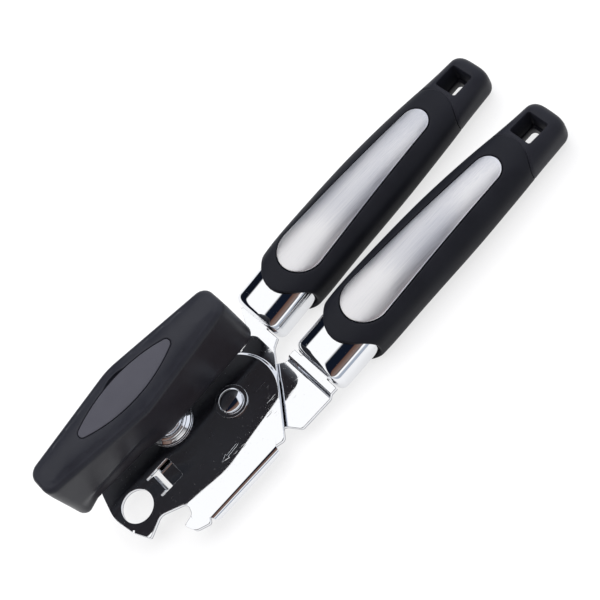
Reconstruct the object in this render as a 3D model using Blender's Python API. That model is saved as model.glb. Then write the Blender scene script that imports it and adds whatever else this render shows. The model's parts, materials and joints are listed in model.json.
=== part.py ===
"""Manual can opener, built as the separate pieces it is put together from.

Lengths are millimetres in the opener's own drawing frame: +X runs from the head to the handles,
+Y points to the upper arm's handle, +Z up to the knob, and z = 0 is the top of the upper plate.
OPENER_OFFSET moves that frame so that the model rests on z = 0 with its box centred on x = y = 0.
"""
import math

import bmesh
import bpy
from mathutils import Matrix, Vector
from mathutils.geometry import delaunay_2d_cdt

MM = 0.001
GAP = 0.3                      # clearance kept between two pieces that touch on the real object

# ---- driving dimensions ------------------------------------------------------------------
DRIVE = (0.0, -1.9)            # axis of the knob, its shaft and the feed wheel
PIVOT = (19.3, -14.5)          # axis of the rivet that both arms turn on
CUTTER = (0.0, 13.1)           # axis of the cutting wheel, with the handles shut
OPEN_ANGLE = math.radians(18)  # how far the lower arm swings from shut to open
SHEET = 1.5                    # thickness of both stamped plates
NECK_TOP = -0.75               # top of both plates where they enter their handles
LOWER_TOP = -2.6               # top of the lower plate under the upper one

FERRULE_X = 45.0               # front of the upper handle's ferrule
TIP_X = 158.8                  # rear end of the upper handle
HANDLE_Z = -2.0                # height of the handles' middle at both ends
HANDLE_ARCH = 1.0              # rise of that middle halfway along
REST_Z = -9.45                 # flat underside that the handles rest on
UPPER_HANDLE = (0.0, 1.7, math.radians(1.75))     # lengthwise shift, sideways place and splay
LOWER_HANDLE = (1.2, -28.3, math.radians(-0.5))

KNOB_BASE, KNOB_EDGE, KNOB_TOP = 5.0, 31.2, 32.6
KNOB_HALF_LENGTH = 41.0
WHEEL_BORE = 2.8
STUD_RADIUS = 2.5
FEED_RADIUS = 6.1
CUTTER_RADIUS = math.dist(DRIVE, CUTTER) - FEED_RADIUS + 0.6
BUSH_RADIUS = 5.0
SHAFT_RADIUS = 3.4

OPENER_OFFSET = (-(TIP_X + LOWER_HANDLE[0] - KNOB_HALF_LENGTH) / 2, 9.6, -REST_Z)
BODY_AXES = {"upper": (0.0, 0.0), "lower": PIVOT, "drive": DRIVE, "cutter": CUTTER}
ARC_SIDES = 24
FAR = 20.0                     # reach of a cutting tool that goes right through


# ---- materials ---------------------------------------------------------------------------
def principled(name, colour, roughness, metallic):
    material = bpy.data.materials.new(name)
    material.use_nodes = True
    shader = material.node_tree.nodes["Principled BSDF"]
    shader.inputs["Base Color"].default_value = (*colour, 1.0)
    shader.inputs["Roughness"].default_value = roughness
    shader.inputs["Metallic"].default_value = metallic
    return material


def make_materials():
    return {
        "chrome": principled("chrome", (0.86, 0.87, 0.89), 0.08, 1.0),
        "brushed_steel": principled("brushed_steel", (0.72, 0.73, 0.76), 0.35, 1.0),
        "tool_steel": principled("tool_steel", (0.55, 0.56, 0.58), 0.3, 1.0),
        "soft_black": principled("soft_black", (0.028, 0.028, 0.034), 0.6, 0.0),
        "hard_black": principled("hard_black", (0.022, 0.022, 0.027), 0.42, 0.0),
        "knob_grey": principled("knob_grey", (0.1, 0.1, 0.118), 0.62, 0.0),
    }


# ---- plane outlines ----------------------------------------------------------------------
def block(span, half_width, radius=0.0, steps=4):
    """A rectangle about the handle's middle line, from span[0] to span[1] along it."""
    low, high = span
    corners = [(low, -half_width), (high, -half_width), (high, half_width), (low, half_width)]
    return rounded([(x, y, radius) for x, y in corners], steps)


def arc(centre, radius, start, end, steps):
    """Points along an arc, angles in degrees, both ends included."""
    points = []
    for step in range(steps + 1):
        angle = math.radians(start + (end - start) * step / steps)
        points.append((centre[0] + radius * math.cos(angle), centre[1] + radius * math.sin(angle)))
    return points


def circle(centre, radius, sides=ARC_SIDES):
    return arc(centre, radius, 0, 360 * (sides - 1) / sides, sides - 1)


def rounded(corners, steps=4):
    """A closed outline from (x, y, radius) corners, each corner turned into an arc."""
    outline = []
    for index, (x, y, radius) in enumerate(corners):
        corner = Vector((x, y))
        before = Vector(corners[index - 1][:2]) - corner
        after = Vector(corners[(index + 1) % len(corners)][:2]) - corner
        half = before.angle(after) / 2
        reach = min(radius / math.tan(half), 0.49 * before.length, 0.49 * after.length)
        if reach < 0.05:
            outline.append((x, y))
            continue
        middle = (before.normalized() + after.normalized()).normalized()
        centre = corner + middle * reach / math.cos(half)
        start = corner + before.normalized() * reach - centre
        end = corner + after.normalized() * reach - centre
        turn = start.angle_signed(end)
        for step in range(steps + 1):
            swing = Matrix.Rotation(-turn * step / steps, 2)
            point = centre + swing @ start
            outline.append((point.x, point.y))
    return outline


def inside(point, outline):
    """Even-odd test of a point against a closed outline."""
    found = False
    for (ax, ay), (bx, by) in zip(outline, outline[1:] + outline[:1]):
        if (ay > point[1]) != (by > point[1]) and point[0] < ax + (point[1] - ay) * (bx - ax) / (by - ay):
            found = not found
    return found


def ramp(t):
    return min(max(t, 0.0), 1.0)


def smooth_profile(knots, x):
    """A smooth curve through (x, value) knots, in order of x and level beyond both ends."""
    if x <= knots[0][0]:
        return knots[0][1]
    if x >= knots[-1][0]:
        return knots[-1][1]
    index = max(k for k in range(len(knots) - 1) if knots[k][0] <= x)
    (x0, y0), (x1, y1) = knots[index], knots[index + 1]

    def slope(k):
        low, high = knots[max(k - 1, 0)], knots[min(k + 1, len(knots) - 1)]
        return (high[1] - low[1]) / (high[0] - low[0])

    t, span = (x - x0) / (x1 - x0), x1 - x0
    rise = y0 + (y1 - y0) * t * t * (3 - 2 * t)
    return rise + span * t * (1 - t) * (slope(index) * (1 - t) - slope(index + 1) * t)


# ---- solids ------------------------------------------------------------------------------
def sheet_solid(outline, holes, top, thickness, creases=(), inner_points=()):
    """A plate cut to an outline; top(x, y) gives its upper face, creases are lines kept as edges."""
    points, edges = [], []
    for loop in (outline, *holes):
        first = len(points)
        points += loop
        edges += [(first + k, first + (k + 1) % len(loop)) for k in range(len(loop))]
    for line in creases:
        first = len(points)
        points += line
        edges += [(first + k, first + k + 1) for k in range(len(line) - 1)]
    points += inner_points
    flat = delaunay_2d_cdt([Vector(p) for p in points], edges, [], 0, 1e-4)
    plane, triangles = flat[0], flat[2]
    solid = bmesh.new()
    upper, lower = [], []
    for point in plane:
        height = top(point.x, point.y)
        upper.append(solid.verts.new((point.x, point.y, height)))
        lower.append(solid.verts.new((point.x, point.y, height - thickness)))
    used = {}
    for triangle in triangles:
        middle = sum((plane[k] for k in triangle), Vector((0, 0))) / 3
        if not inside(middle, outline) or any(inside(middle, hole) for hole in holes):
            continue
        solid.faces.new([upper[k] for k in triangle])
        solid.faces.new([lower[k] for k in reversed(triangle)])
        for a, b in zip(triangle, (*triangle[1:], triangle[0])):
            used[(a, b)] = used.get((b, a), 0) + 1
    for a, b in used:
        if (b, a) not in used:
            solid.faces.new((upper[b], upper[a], lower[a], lower[b]))
    loose = [vertex for vertex in solid.verts if not vertex.link_faces]
    bmesh.ops.delete(solid, geom=loose, context="VERTS")
    return solid


def prism(outline, low, high):
    return sheet_solid(outline, (), lambda x, y: high, high - low)


def ring_loft(rings):
    """A closed solid over equal rings of points, the first and last ones capped."""
    solid = bmesh.new()
    loops = [[solid.verts.new(point) for point in ring] for ring in rings]
    for first, second in zip(loops, loops[1:]):
        bridge(solid, first, second)
    solid.faces.new(reversed(loops[0]))
    solid.faces.new(loops[-1])
    return solid


def sleeve_loft(outer, inner):
    """A tube over equal lists of outer and inner rings."""
    solid = bmesh.new()
    outside = [[solid.verts.new(point) for point in ring] for ring in outer]
    bore = [[solid.verts.new(point) for point in ring] for ring in inner]
    for first, second in zip(outside, outside[1:]):
        bridge(solid, first, second)
    for first, second in zip(bore, bore[1:]):
        bridge(solid, second, first)
    bridge(solid, bore[0], outside[0])
    bridge(solid, outside[-1], bore[-1])
    return solid


def bridge(solid, first, second):
    count = len(first)
    for k in range(count):
        after = (k + 1) % count
        solid.faces.new((first[k], first[after], second[after], second[k]))


def turned(centre, profile, bore=0.0, sides=ARC_SIDES):
    """A turned piece from (radius, z) steps, bottom to top, with a straight bore or none."""
    rings = [[(x, y, z) for x, y in circle(centre, radius, sides)] for radius, z in profile]
    if not bore:
        return ring_loft(rings)
    low, high = profile[0][1], profile[-1][1]
    inner = []
    for step in range(len(rings)):
        z = low + (high - low) * step / (len(rings) - 1)
        inner.append([(x, y, z) for x, y in circle(centre, bore, sides)])
    return sleeve_loft(rings, inner)


def fold_down(solid, on_edge, bend_radius, drop, steps=4):
    """Fold the plate edge whose wall midpoint passes on_edge: a quarter bend, then a straight drop."""
    wall = next(face for face in solid.faces
                if abs(face.normal.z) < 0.1 and len(face.verts) == 4
                and on_edge(face.calc_center_median()))
    outward = wall.normal.copy()
    along = outward.cross(Vector((0, 0, 1)))
    hinge = wall.calc_center_median()
    hinge.z = min(vertex.co.z for vertex in wall.verts) - bend_radius
    turn = Matrix.Rotation(math.radians(-90 / steps), 3, along)
    if (turn @ outward).z > 0:
        turn.invert()
    for _ in range(steps):
        wall = extrude_face(solid, wall)
        bmesh.ops.rotate(solid, verts=wall.verts, cent=hinge, matrix=turn)
    wall = extrude_face(solid, wall)
    bmesh.ops.translate(solid, verts=wall.verts, vec=(0, 0, -drop))


def extrude_face(solid, face):
    result = bmesh.ops.extrude_discrete_faces(solid, faces=[face])
    return result["faces"][0]


# ---- scene objects -----------------------------------------------------------------------
def clear_scene():
    for item in list(bpy.data.objects):
        bpy.data.objects.remove(item, do_unlink=True)


def make_frames():
    """One empty per moving body, on its joint axis, all under the opener's own frame."""
    frames = {}
    parents = {"upper": None, "lower": "upper", "drive": "upper", "cutter": "lower"}
    for body, parent in parents.items():
        frame = bpy.data.objects.new(body + "_frame", None)
        bpy.context.collection.objects.link(frame)
        if parent is None:
            frame.location = [value * MM for value in OPENER_OFFSET]
        else:
            frame.parent = frames[parent]
            shift = [BODY_AXES[body][k] - BODY_AXES[parent][k] for k in (0, 1)]
            frame.location = (shift[0] * MM, shift[1] * MM, 0)
        frames[body] = frame
    return frames


class Bench:
    """Turns bmesh solids in drawing millimetres into named objects on their body's frame."""

    def __init__(self):
        self.materials = make_materials()
        self.frames = make_frames()

    def add(self, name, body, material, solid, holder=None):
        if holder is not None:
            solid.transform(holder)
        axis_x, axis_y = BODY_AXES[body]
        solid.transform(Matrix.Scale(MM, 4) @ Matrix.Translation((-axis_x, -axis_y, 0)))
        bmesh.ops.recalc_face_normals(solid, faces=solid.faces)
        mesh = bpy.data.meshes.new(name)
        solid.to_mesh(mesh)
        solid.free()
        mesh.materials.append(self.materials[material])
        piece = bpy.data.objects.new(name, mesh)
        piece.parent = self.frames[body]
        bpy.context.collection.objects.link(piece)
        return piece

    def cut(self, piece, body, solid, holder=None):
        tool = self.add(piece.name + "_cutter", body, "tool_steel", solid, holder)
        tool.hide_render = True
        tool.display_type = "WIRE"
        modifier = piece.modifiers.new("cut", "BOOLEAN")
        modifier.operation = "DIFFERENCE"
        modifier.solver = "EXACT"
        modifier.object = tool


# ---- handles -----------------------------------------------------------------------------
# Handle coordinates: x as in the drawing frame, y from the handle's own middle line.
OUTER_HALF_WIDTH = [(50, 12.0), (58, 12.4), (66, 13.0), (76, 13.3), (90, 13.1), (110, 12.6),
                    (130, 11.1), (150, 8.8), (156, 8.2)]
OUTER_HALF_HEIGHT = [(50, 8.0), (65, 8.2), (100, 8.2), (130, 7.5), (150, 6.5), (158, 6.2)]
BORE_HALF_WIDTH = [(50, 11.3), (67, 11.3), (76, 11.4), (100, 11.1), (130, 9.3), (144, 7.4)]
BORE_HALF_HEIGHT = [(50, 7.1), (67, 7.1), (76, 6.9), (100, 6.9), (130, 6.2), (144, 5.4)]
SIDE_SWAY = [(50, -0.8), (80, 0.1), (120, 0.1), (150, -0.4)]     # bend of the handle's middle line
FERRULE_HALF = (11.0, 6.8)
FERRULE_END = 66.0
FERRULE_WALL = 1.0
SECTION_POWER = [(68, 3.0), (86, 2.6), (140, 2.6), (156, 3.4)]   # 2 is an ellipse, more is boxier
SECTION_POINTS = 28
GRIP_FRONT, GRIP_FRONT_BOW = 55.2, 8.3
GRIP_REAR, GRIP_REAR_BOW = 143.5, 5.0
GRIP_STEPS, STEM_STEPS = 11, 8  # rings along the grip and along the stem under it
INLAY_FRONT, INLAY_REAR = 63.5, 134.5
INLAY_THICKNESS = 0.8
TANG_HALF_WIDTH = 6.5
TANG_END = 76.0
TANG_PIN_X, TANG_PIN_RADIUS = 70.5, 1.5
PIN_SIDES = 12
SLOT_X = (144.7, 153.9)
SLOT_HALF_WIDTH = 4.6
SLOT_LEDGE_X = 152.8
SLOT_LEDGE_Z = -4.5
TIP_ROUNDING_X = SLOT_X[1] + 0.7
TIP_ROUNDING = ((2.4, 0.5, 0.4), (0.8, 1.9, 1.2), (0.0, 4.0, 2.6))   # back from the end, in, down


def handle_frame(handle):
    lengthwise, sideways, splay = handle
    front = Vector((FERRULE_X, 0, 0))
    place = Matrix.Translation((FERRULE_X + lengthwise, sideways, 0))
    return place @ Matrix.Rotation(splay, 4, "Z") @ Matrix.Translation(-front)


def handle_middle(x):
    along = (x - FERRULE_X) / (TIP_X - FERRULE_X)
    return HANDLE_Z + HANDLE_ARCH * math.sin(math.pi * along)


def unit_section(power):
    points = []
    for k in range(SECTION_POINTS):
        angle = 2 * math.pi * (k + 0.5) / SECTION_POINTS
        across, up = math.cos(angle), math.sin(angle)
        points.append((math.copysign(abs(across) ** (2 / power), across),
                       math.copysign(abs(up) ** (2 / power), up)))
    return points


def handle_ring(place, half_width, half_height):
    """One ring of a handle: place gives x from the side, the other two give the size from x."""
    ring = []
    for across, up in unit_section(section_power(place(0.7))):
        x = place(across)
        z = handle_middle(x) + up * half_height(x)
        ring.append((x, across * half_width(x) + side_sway(x), max(z, REST_Z)))
    return ring


def always(value):
    """A place or size function that gives one value everywhere."""
    return lambda where: value


def moved(function, amount):
    """The same place or size function with an amount added."""
    return lambda where: function(where) + amount


def between(front, rear, t):
    """A place function part of the way from a front seam to a rear one."""
    return lambda across: front(across) * (1 - t) + rear(across) * t


def side_sway(x):
    return smooth_profile(SIDE_SWAY, x)


def section_power(x):
    return smooth_profile(SECTION_POWER, x)


def outer_width(x):
    return smooth_profile(OUTER_HALF_WIDTH, x)


def outer_height(x):
    return smooth_profile(OUTER_HALF_HEIGHT, x)


def bore_width(x):
    return smooth_profile(BORE_HALF_WIDTH, x)


def bore_height(x):
    return smooth_profile(BORE_HALF_HEIGHT, x)


def handle_top(x, y):
    """Height of the handle's outer face above a point."""
    across = min(abs(y - side_sway(x)) / outer_width(x), 1.0)
    power = section_power(x)
    return handle_middle(x) + outer_height(x) * (1 - across ** power) ** (1 / power)


def seam_front(across):
    return GRIP_FRONT + GRIP_FRONT_BOW * across ** 2


def seam_rear(across):
    return GRIP_REAR - GRIP_REAR_BOW * across ** 2


def inlay_outline(grow=0.0):
    """The teardrop of the inlay: a wide round front, a narrow round rear, straight sides."""
    front_radius, rear_radius = 8.9, 5.2
    front = (INLAY_FRONT + front_radius, 0)
    rear = (INLAY_REAR - rear_radius, 0)
    lean = math.degrees(math.asin((front_radius - rear_radius) / (rear[0] - front[0])))
    outline = arc(front, front_radius + grow, 90 - lean, 270 + lean, 12)
    return outline + arc(rear, rear_radius + grow, lean - 90, 90 - lean, 8)


def make_grip(bench, side, holder):
    places = [between(seam_front, seam_rear, k / GRIP_STEPS) for k in range(GRIP_STEPS + 1)]
    outer = [handle_ring(place, outer_width, outer_height) for place in places]
    inner = [handle_ring(place, bore_width, bore_height) for place in places]
    grip = bench.add(side + "_grip", side, "soft_black", sleeve_loft(outer, inner), holder)
    bench.cut(grip, side, prism(inlay_outline(GAP), HANDLE_Z + 2.0, FAR), holder)


def make_core(bench, side, holder):
    """Hard core of a handle: a plug in the ferrule, a stem under the grip, the tip with its slot."""
    plug = [always(half - FERRULE_WALL - GAP) for half in FERRULE_HALF]
    stem = (moved(bore_width, -GAP), moved(bore_height, -GAP))
    plug_front, plug_rear = FERRULE_X + 3.5, FERRULE_END + GAP
    tip_front = moved(seam_rear, GAP)
    rings = [handle_ring(always(x), *plug) for x in (plug_front, plug_rear)]
    for k in range(STEM_STEPS + 1):
        rings.append(handle_ring(between(always(plug_rear + GAP), tip_front, k / STEM_STEPS), *stem))
    for t in (0.0, 0.5, 1.0):
        rings.append(handle_ring(between(tip_front, always(TIP_ROUNDING_X), t), outer_width, outer_height))
    for back, narrow, low in TIP_ROUNDING:
        size = (moved(outer_width, -narrow), moved(outer_height, -low))
        rings.append(handle_ring(always(TIP_X - back), *size))
    core = bench.add(side + "_core", side, "hard_black", ring_loft(rings), holder)
    bench.cut(core, side, prism(block(SLOT_X, SLOT_HALF_WIDTH, 0.6, 2), SLOT_LEDGE_Z, FAR), holder)
    through = block((SLOT_X[0] + 0.5, SLOT_LEDGE_X), SLOT_HALF_WIDTH - 0.3, 1.6, 3)
    bench.cut(core, side, prism(through, -FAR, SLOT_LEDGE_Z + 1), holder)
    pocket = block((plug_front - 2, TANG_END + GAP), TANG_HALF_WIDTH + GAP)
    bench.cut(core, side, prism(pocket, NECK_TOP - SHEET - GAP, NECK_TOP + GAP), holder)
    pin_hole = circle((TANG_PIN_X, 0), TANG_PIN_RADIUS + GAP, PIN_SIDES)
    bench.cut(core, side, prism(pin_hole, -FAR, FAR), holder)


def make_inlay(bench, side, holder):
    grid = [(x, y) for x in (70, 80, 90, 100, 110, 120, 129) for y in (-3.5, 0, 3.5)]
    plate = sheet_solid(inlay_outline(), (), handle_top, INLAY_THICKNESS, (), grid)
    bench.add(side + "_inlay", side, "brushed_steel", plate, holder)


def ferrule_rings(stations, shrink):
    """Rings of the collar from (x, inset) stations, all drawn in by a further amount."""
    made = []
    for x, less in stations:
        size = [always(half - less - shrink) for half in FERRULE_HALF]
        made.append(handle_ring(always(x), *size))
    return made


def make_ferrule(bench, side, holder):
    """A drawn collar: closed front with rounded edges and a slot for the neck, open rear."""
    floor_x = FERRULE_X + FERRULE_WALL
    outer = [(FERRULE_X, 1.3), (FERRULE_X + 0.4, 0.4), (FERRULE_X + 1.4, 0.0), (FERRULE_END, 0.0)]
    inner = [(floor_x, 1.2), (floor_x + 1.2, 0.0), (FERRULE_END, 0.0)]
    solid = bmesh.new()
    outside = [[solid.verts.new(point) for point in ring] for ring in ferrule_rings(outer, 0.0)]
    bore = [[solid.verts.new(point) for point in ring] for ring in ferrule_rings(inner, FERRULE_WALL)]
    for first, second in zip(outside, outside[1:]):
        bridge(solid, first, second)
    for first, second in zip(bore, bore[1:]):
        bridge(solid, second, first)
    bridge(solid, outside[-1], bore[-1])
    solid.faces.new(reversed(outside[0]))
    solid.faces.new(bore[0])
    ferrule = bench.add(side + "_ferrule", side, "chrome", solid, holder)
    slot = block((FERRULE_X - 2, floor_x + 2), TANG_HALF_WIDTH + GAP)
    bench.cut(ferrule, side, prism(slot, NECK_TOP - SHEET - GAP, NECK_TOP + GAP), holder)


def make_tang_pin(bench, side, holder):
    middle = handle_middle(TANG_PIN_X)
    reach = bore_height(TANG_PIN_X) - 1.0
    pin = prism(circle((TANG_PIN_X, 0), TANG_PIN_RADIUS, PIN_SIDES), middle - reach, middle + reach)
    bench.add(side + "_tang_pin", side, "tool_steel", pin, holder)


def make_handle(bench, side, handle):
    holder = handle_frame(handle)
    make_ferrule(bench, side, holder)
    make_core(bench, side, holder)
    make_grip(bench, side, holder)
    make_inlay(bench, side, holder)
    make_tang_pin(bench, side, holder)


def tang(handle, neck_sides):
    """Outline corners of a plate's tail: the neck's shoulders, then the tang inside the handle."""
    holder = handle_frame(handle)
    corners = []
    shoulder = FERRULE_X - GAP - 0.1
    low, high = neck_sides
    local = [(shoulder, low, 0.4), (shoulder, -TANG_HALF_WIDTH, 0.3), (TANG_END, -TANG_HALF_WIDTH, 1),
             (TANG_END, TANG_HALF_WIDTH, 1), (shoulder, TANG_HALF_WIDTH, 0.3), (shoulder, high, 0.4)]
    for x, y, radius in local:
        point = holder @ Vector((x, y, 0))
        corners.append((point.x, point.y, radius))
    return corners


def pin_hole_in_tang(handle):
    point = handle_frame(handle) @ Vector((TANG_PIN_X, 0, 0))
    return circle((point.x, point.y), TANG_PIN_RADIUS + GAP, PIN_SIDES)


# ---- upper plate -------------------------------------------------------------------------
HEAD_HOLE, HEAD_HOLE_RADIUS = (-26.6, -15.2), 5.8
WINDOW_X, WINDOW_Y = (-17.5, -8.7), (-19.7, -10.8)
WINDOW_RELIEF, WINDOW_SLIT = 1.0, 0.8    # slits that free both ends of the tab's bend
LIP_Y, LIP_BEND, LIP_DROP = -37.9, 0.3, 1.4
PAD_RADIUS = 16.5              # edge of the raised pad, an arc about the pivot
PAD_SLOPE = 1.2                # width of the step down to the neck
PAD_ARC = (-52, 62)            # the step runs between these angles about the pivot
PAD_FADE = 10                  # and fades out over this many degrees at both ends
TAB_BEND, TAB_DROP = 0.6, 2.2  # of the tab folded down out of the window


def upper_outline():
    head = [(41.7, -11.9, 3), (30.5, -27.6, 20), (22.2, -38.8, 1.8), (19.0, LIP_Y, 0),
            (-12.0, LIP_Y, 0), (-13.2, -39.6, 1.0), (-18.2, -37.6, 2.5), (-19.9, -33.1, 0.7),
            (-15.6, -32.2, 1.5), (-14.2, -28.2, 2.5), (-23.2, -23.9, 3.5),
            (-30.6, -27.2, 0.8), (-33.6, -21.0, 4), (-35.2, -12.0, 14), (-32.2, -0.5, 8),
            (-22.0, 8.5, 14), (0.0, 12.0, 20), (22.0, 8.0, 12), (29.5, -2.6, 6), (38.2, -3.4, 7)]
    return rounded(tang(UPPER_HANDLE, (-11.9, 7.6))[::-1] + head)


def window_outline():
    """Window with a slit beyond each end of the tab, which is folded down along its -X side."""
    (x0, x1), (y0, y1) = WINDOW_X, WINDOW_Y
    low, high, left = y0 + WINDOW_SLIT, y1 - WINDOW_SLIT, x0 - WINDOW_RELIEF
    return rounded([(x0, low, 0), (left, low, 0), (left, y0, 0), (x1, y0, 0.8), (x1, y1, 0.8),
                    (left, y1, 0), (left, high, 0), (x0, high, 0)], 3)


def upper_height(x, y):
    """Top of the upper plate: level, but for the step down to the neck along an arc."""
    away = math.dist((x, y), PIVOT)
    angle = math.degrees(math.atan2(y - PIVOT[1], x - PIVOT[0]))
    fade = min(angle - PAD_ARC[0], PAD_ARC[1] - angle) / PAD_FADE
    return NECK_TOP * ramp((away - PAD_RADIUS) / PAD_SLOPE) * ramp(fade)


def make_upper_plate(bench):
    creases = [arc(PIVOT, radius, -62, 62, 14) for radius in (PAD_RADIUS, PAD_RADIUS + PAD_SLOPE)]
    holes = [circle(DRIVE, BUSH_RADIUS + GAP), circle(PIVOT, STUD_RADIUS + GAP),
             circle(HEAD_HOLE, HEAD_HOLE_RADIUS), window_outline(), pin_hole_in_tang(UPPER_HANDLE)]
    plate = sheet_solid(upper_outline(), holes, upper_height, SHEET, creases)
    plate.faces.ensure_lookup_table()
    plate.normal_update()
    fold_down(plate, lambda c: abs(c.y - LIP_Y) < 0.01, LIP_BEND, LIP_DROP)
    plate.normal_update()
    fold_down(plate, lambda c: abs(c.x - WINDOW_X[0]) < 0.01 and WINDOW_Y[0] < c.y < WINDOW_Y[1],
              TAB_BEND, TAB_DROP)
    bench.add("upper_plate", "upper", "chrome", plate)


# ---- lower plate -------------------------------------------------------------------------
JOGGLE_X = (41.6, 43.4)        # the lower plate steps down between these


def lower_height(x, y):
    step = ramp((x - JOGGLE_X[0]) / (JOGGLE_X[1] - JOGGLE_X[0]))
    return LOWER_TOP + (NECK_TOP - LOWER_TOP) * step


def lower_outline():
    head = [(41.0, -17.8, 3), (36.0, -13.5, 4), (31.0, -4.0, 8), (10.0, 16.5, 10), (5.5, 22.0, 6),
            (-7.5, 21.5, 6), (-8.6, 6.0, 14), (-14.0, -6.0, 5), (-14.0, -20.6, 3), (8.0, -24.0, 14),
            (25.6, -34.6, 3), (28.6, -39.4, 1.5)]
    return rounded(tang(LOWER_HANDLE, (-11.2, 10.2)) + head)


def bush_slot():
    """Curved slot about the pivot that the bushing runs along; its ends stop the swing."""
    reach = math.dist(PIVOT, DRIVE)
    start = math.degrees(math.atan2(DRIVE[1] - PIVOT[1], DRIVE[0] - PIVOT[0]))
    end = start + math.degrees(OPEN_ANGLE)
    width = BUSH_RADIUS + GAP
    outline = arc(DRIVE, width, start - 180, start, 10)
    outline += arc(PIVOT, reach + width, start, end, 4)[1:-1]
    far = (PIVOT[0] + reach * math.cos(math.radians(end)), PIVOT[1] + reach * math.sin(math.radians(end)))
    outline += arc(far, width, end, end + 180, 10)
    return outline + arc(PIVOT, reach - width, end, start, 4)[1:-1]


def make_lower_plate(bench):
    creases = [[(x, -17.0), (x, -40.5)] for x in JOGGLE_X]
    holes = [bush_slot(), circle(PIVOT, STUD_RADIUS + GAP), circle(CUTTER, STUD_RADIUS + GAP, 16),
             pin_hole_in_tang(LOWER_HANDLE)]
    plate = sheet_solid(lower_outline(), holes, lower_height, SHEET, creases)
    bench.add("lower_plate", "lower", "chrome", plate)


# ---- pivot, drive and cutter -------------------------------------------------------------
LOWER_BOTTOM = LOWER_TOP - SHEET
WHEEL_THICKNESS, DISC_THICKNESS = 1.9, 1.2
FEED_Z = (LOWER_BOTTOM - 2 * GAP - WHEEL_THICKNESS, LOWER_BOTTOM - 2 * GAP)
CUTTER_Z = (FEED_Z[0] - GAP - DISC_THICKNESS, FEED_Z[0] - GAP)
FEED_TEETH, TOOTH_DEPTH = 22, 0.75
WASHER_RADIUS, SPACER_RADIUS = 5.8, 6.5    # under the pivot's dome and between the two plates
WASHER_Z = (0.2, 0.5)
DOME_RADIUS, DOME_RISE = 4.5, 1.9
UPSET_RADIUS, UPSET_HEIGHT = 4.3, 1.0      # peened end of the pivot rivet
FLANGE_RADIUS, FLANGE_HEIGHT = 8.6, 1.2    # seat of the knob's bushing on the upper plate
THRUST_RADIUS, THRUST_HEIGHT = 7.2, 0.6
COLLAR_RADIUS, STEM_RADIUS = 6.2, 3.0      # of the knob's shaft, under and inside the knob
STEM_REACH = 10.0                          # from the stem's end to the knob's top
PEEN_RADIUS, PEEN_HEIGHT = 3.5, 0.9        # peened ends of the knob's shaft and the cutter's stud
STUD_HEAD_RADIUS, STUD_HEAD_HEIGHT = 3.4, 0.5
SMALL_SIDES, DISC_SIDES = 20, 36


def peened(radius, start, height):
    """The (radius, z) steps of a peened end whose flat side is at a height, from its tip up."""
    return [(radius - 0.7, start - height), (radius, start - height / 2), (radius, start)]


def make_pivot(bench):
    bore = STUD_RADIUS + GAP
    washer = [(WASHER_RADIUS, WASHER_Z[0]), (WASHER_RADIUS, WASHER_Z[1] - 0.1),
              (WASHER_RADIUS - 0.2, WASHER_Z[1])]
    bench.add("pivot_washer", "upper", "chrome", turned(PIVOT, washer, bore))
    spacer = [(SPACER_RADIUS, LOWER_TOP + GAP), (SPACER_RADIUS, -SHEET - GAP)]
    bench.add("pivot_spacer", "upper", "tool_steel", turned(PIVOT, spacer, bore))
    head = WASHER_Z[1] + GAP
    tail = LOWER_BOTTOM - GAP
    rivet = peened(UPSET_RADIUS, tail, UPSET_HEIGHT) + [(STUD_RADIUS, tail), (STUD_RADIUS, head),
                                                       (DOME_RADIUS - 0.3, head)]
    for angle in (0.0, 0.45, 0.85, 1.2):
        rivet.append((DOME_RADIUS * math.cos(angle), head + 0.2 + DOME_RISE * math.sin(angle)))
    bench.add("pivot_rivet", "upper", "chrome", turned(PIVOT, rivet))


def make_drive(bench):
    flange_z = (GAP, GAP + FLANGE_HEIGHT)
    thrust_z = (flange_z[1] + GAP, flange_z[1] + GAP + THRUST_HEIGHT)
    collar_z = (thrust_z[1] + GAP, KNOB_BASE - GAP)
    bore = SHAFT_RADIUS + GAP
    bushing = [(BUSH_RADIUS, LOWER_BOTTOM - GAP), (BUSH_RADIUS, flange_z[0]), (FLANGE_RADIUS, flange_z[0]),
               (FLANGE_RADIUS, flange_z[0] + 0.4), (FLANGE_RADIUS - 1.0, flange_z[1])]
    bench.add("drive_bushing", "upper", "chrome", turned(DRIVE, bushing, bore))
    washer = [(THRUST_RADIUS, thrust_z[0]), (THRUST_RADIUS, thrust_z[1])]
    bench.add("thrust_washer", "drive", "chrome", turned(DRIVE, washer, bore))
    seat, shoulder = FEED_Z[0] - GAP, FEED_Z[1] + 0.1
    shaft = peened(PEEN_RADIUS, seat, PEEN_HEIGHT)
    shaft += [(STUD_RADIUS, seat), (STUD_RADIUS, shoulder), (SHAFT_RADIUS, shoulder),
              (SHAFT_RADIUS, collar_z[0]), (COLLAR_RADIUS, collar_z[0]), (COLLAR_RADIUS, collar_z[1]),
              (STEM_RADIUS, collar_z[1]), (STEM_RADIUS, KNOB_TOP - STEM_REACH)]
    bench.add("knob_shaft", "drive", "chrome", turned(DRIVE, shaft))
    bench.add("feed_wheel", "drive", "tool_steel", feed_wheel())


def feed_wheel():
    """The toothed wheel that turns the can, under both plates."""
    rim = []
    for tooth in range(2 * FEED_TEETH):
        angle = math.pi * tooth / FEED_TEETH
        radius = FEED_RADIUS if tooth % 2 else FEED_RADIUS - TOOTH_DEPTH
        rim.append((DRIVE[0] + radius * math.cos(angle), DRIVE[1] + radius * math.sin(angle)))
    hole = circle(DRIVE, WHEEL_BORE, 16)
    return sheet_solid(rim, [hole], lambda x, y: FEED_Z[1], WHEEL_THICKNESS)


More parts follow.
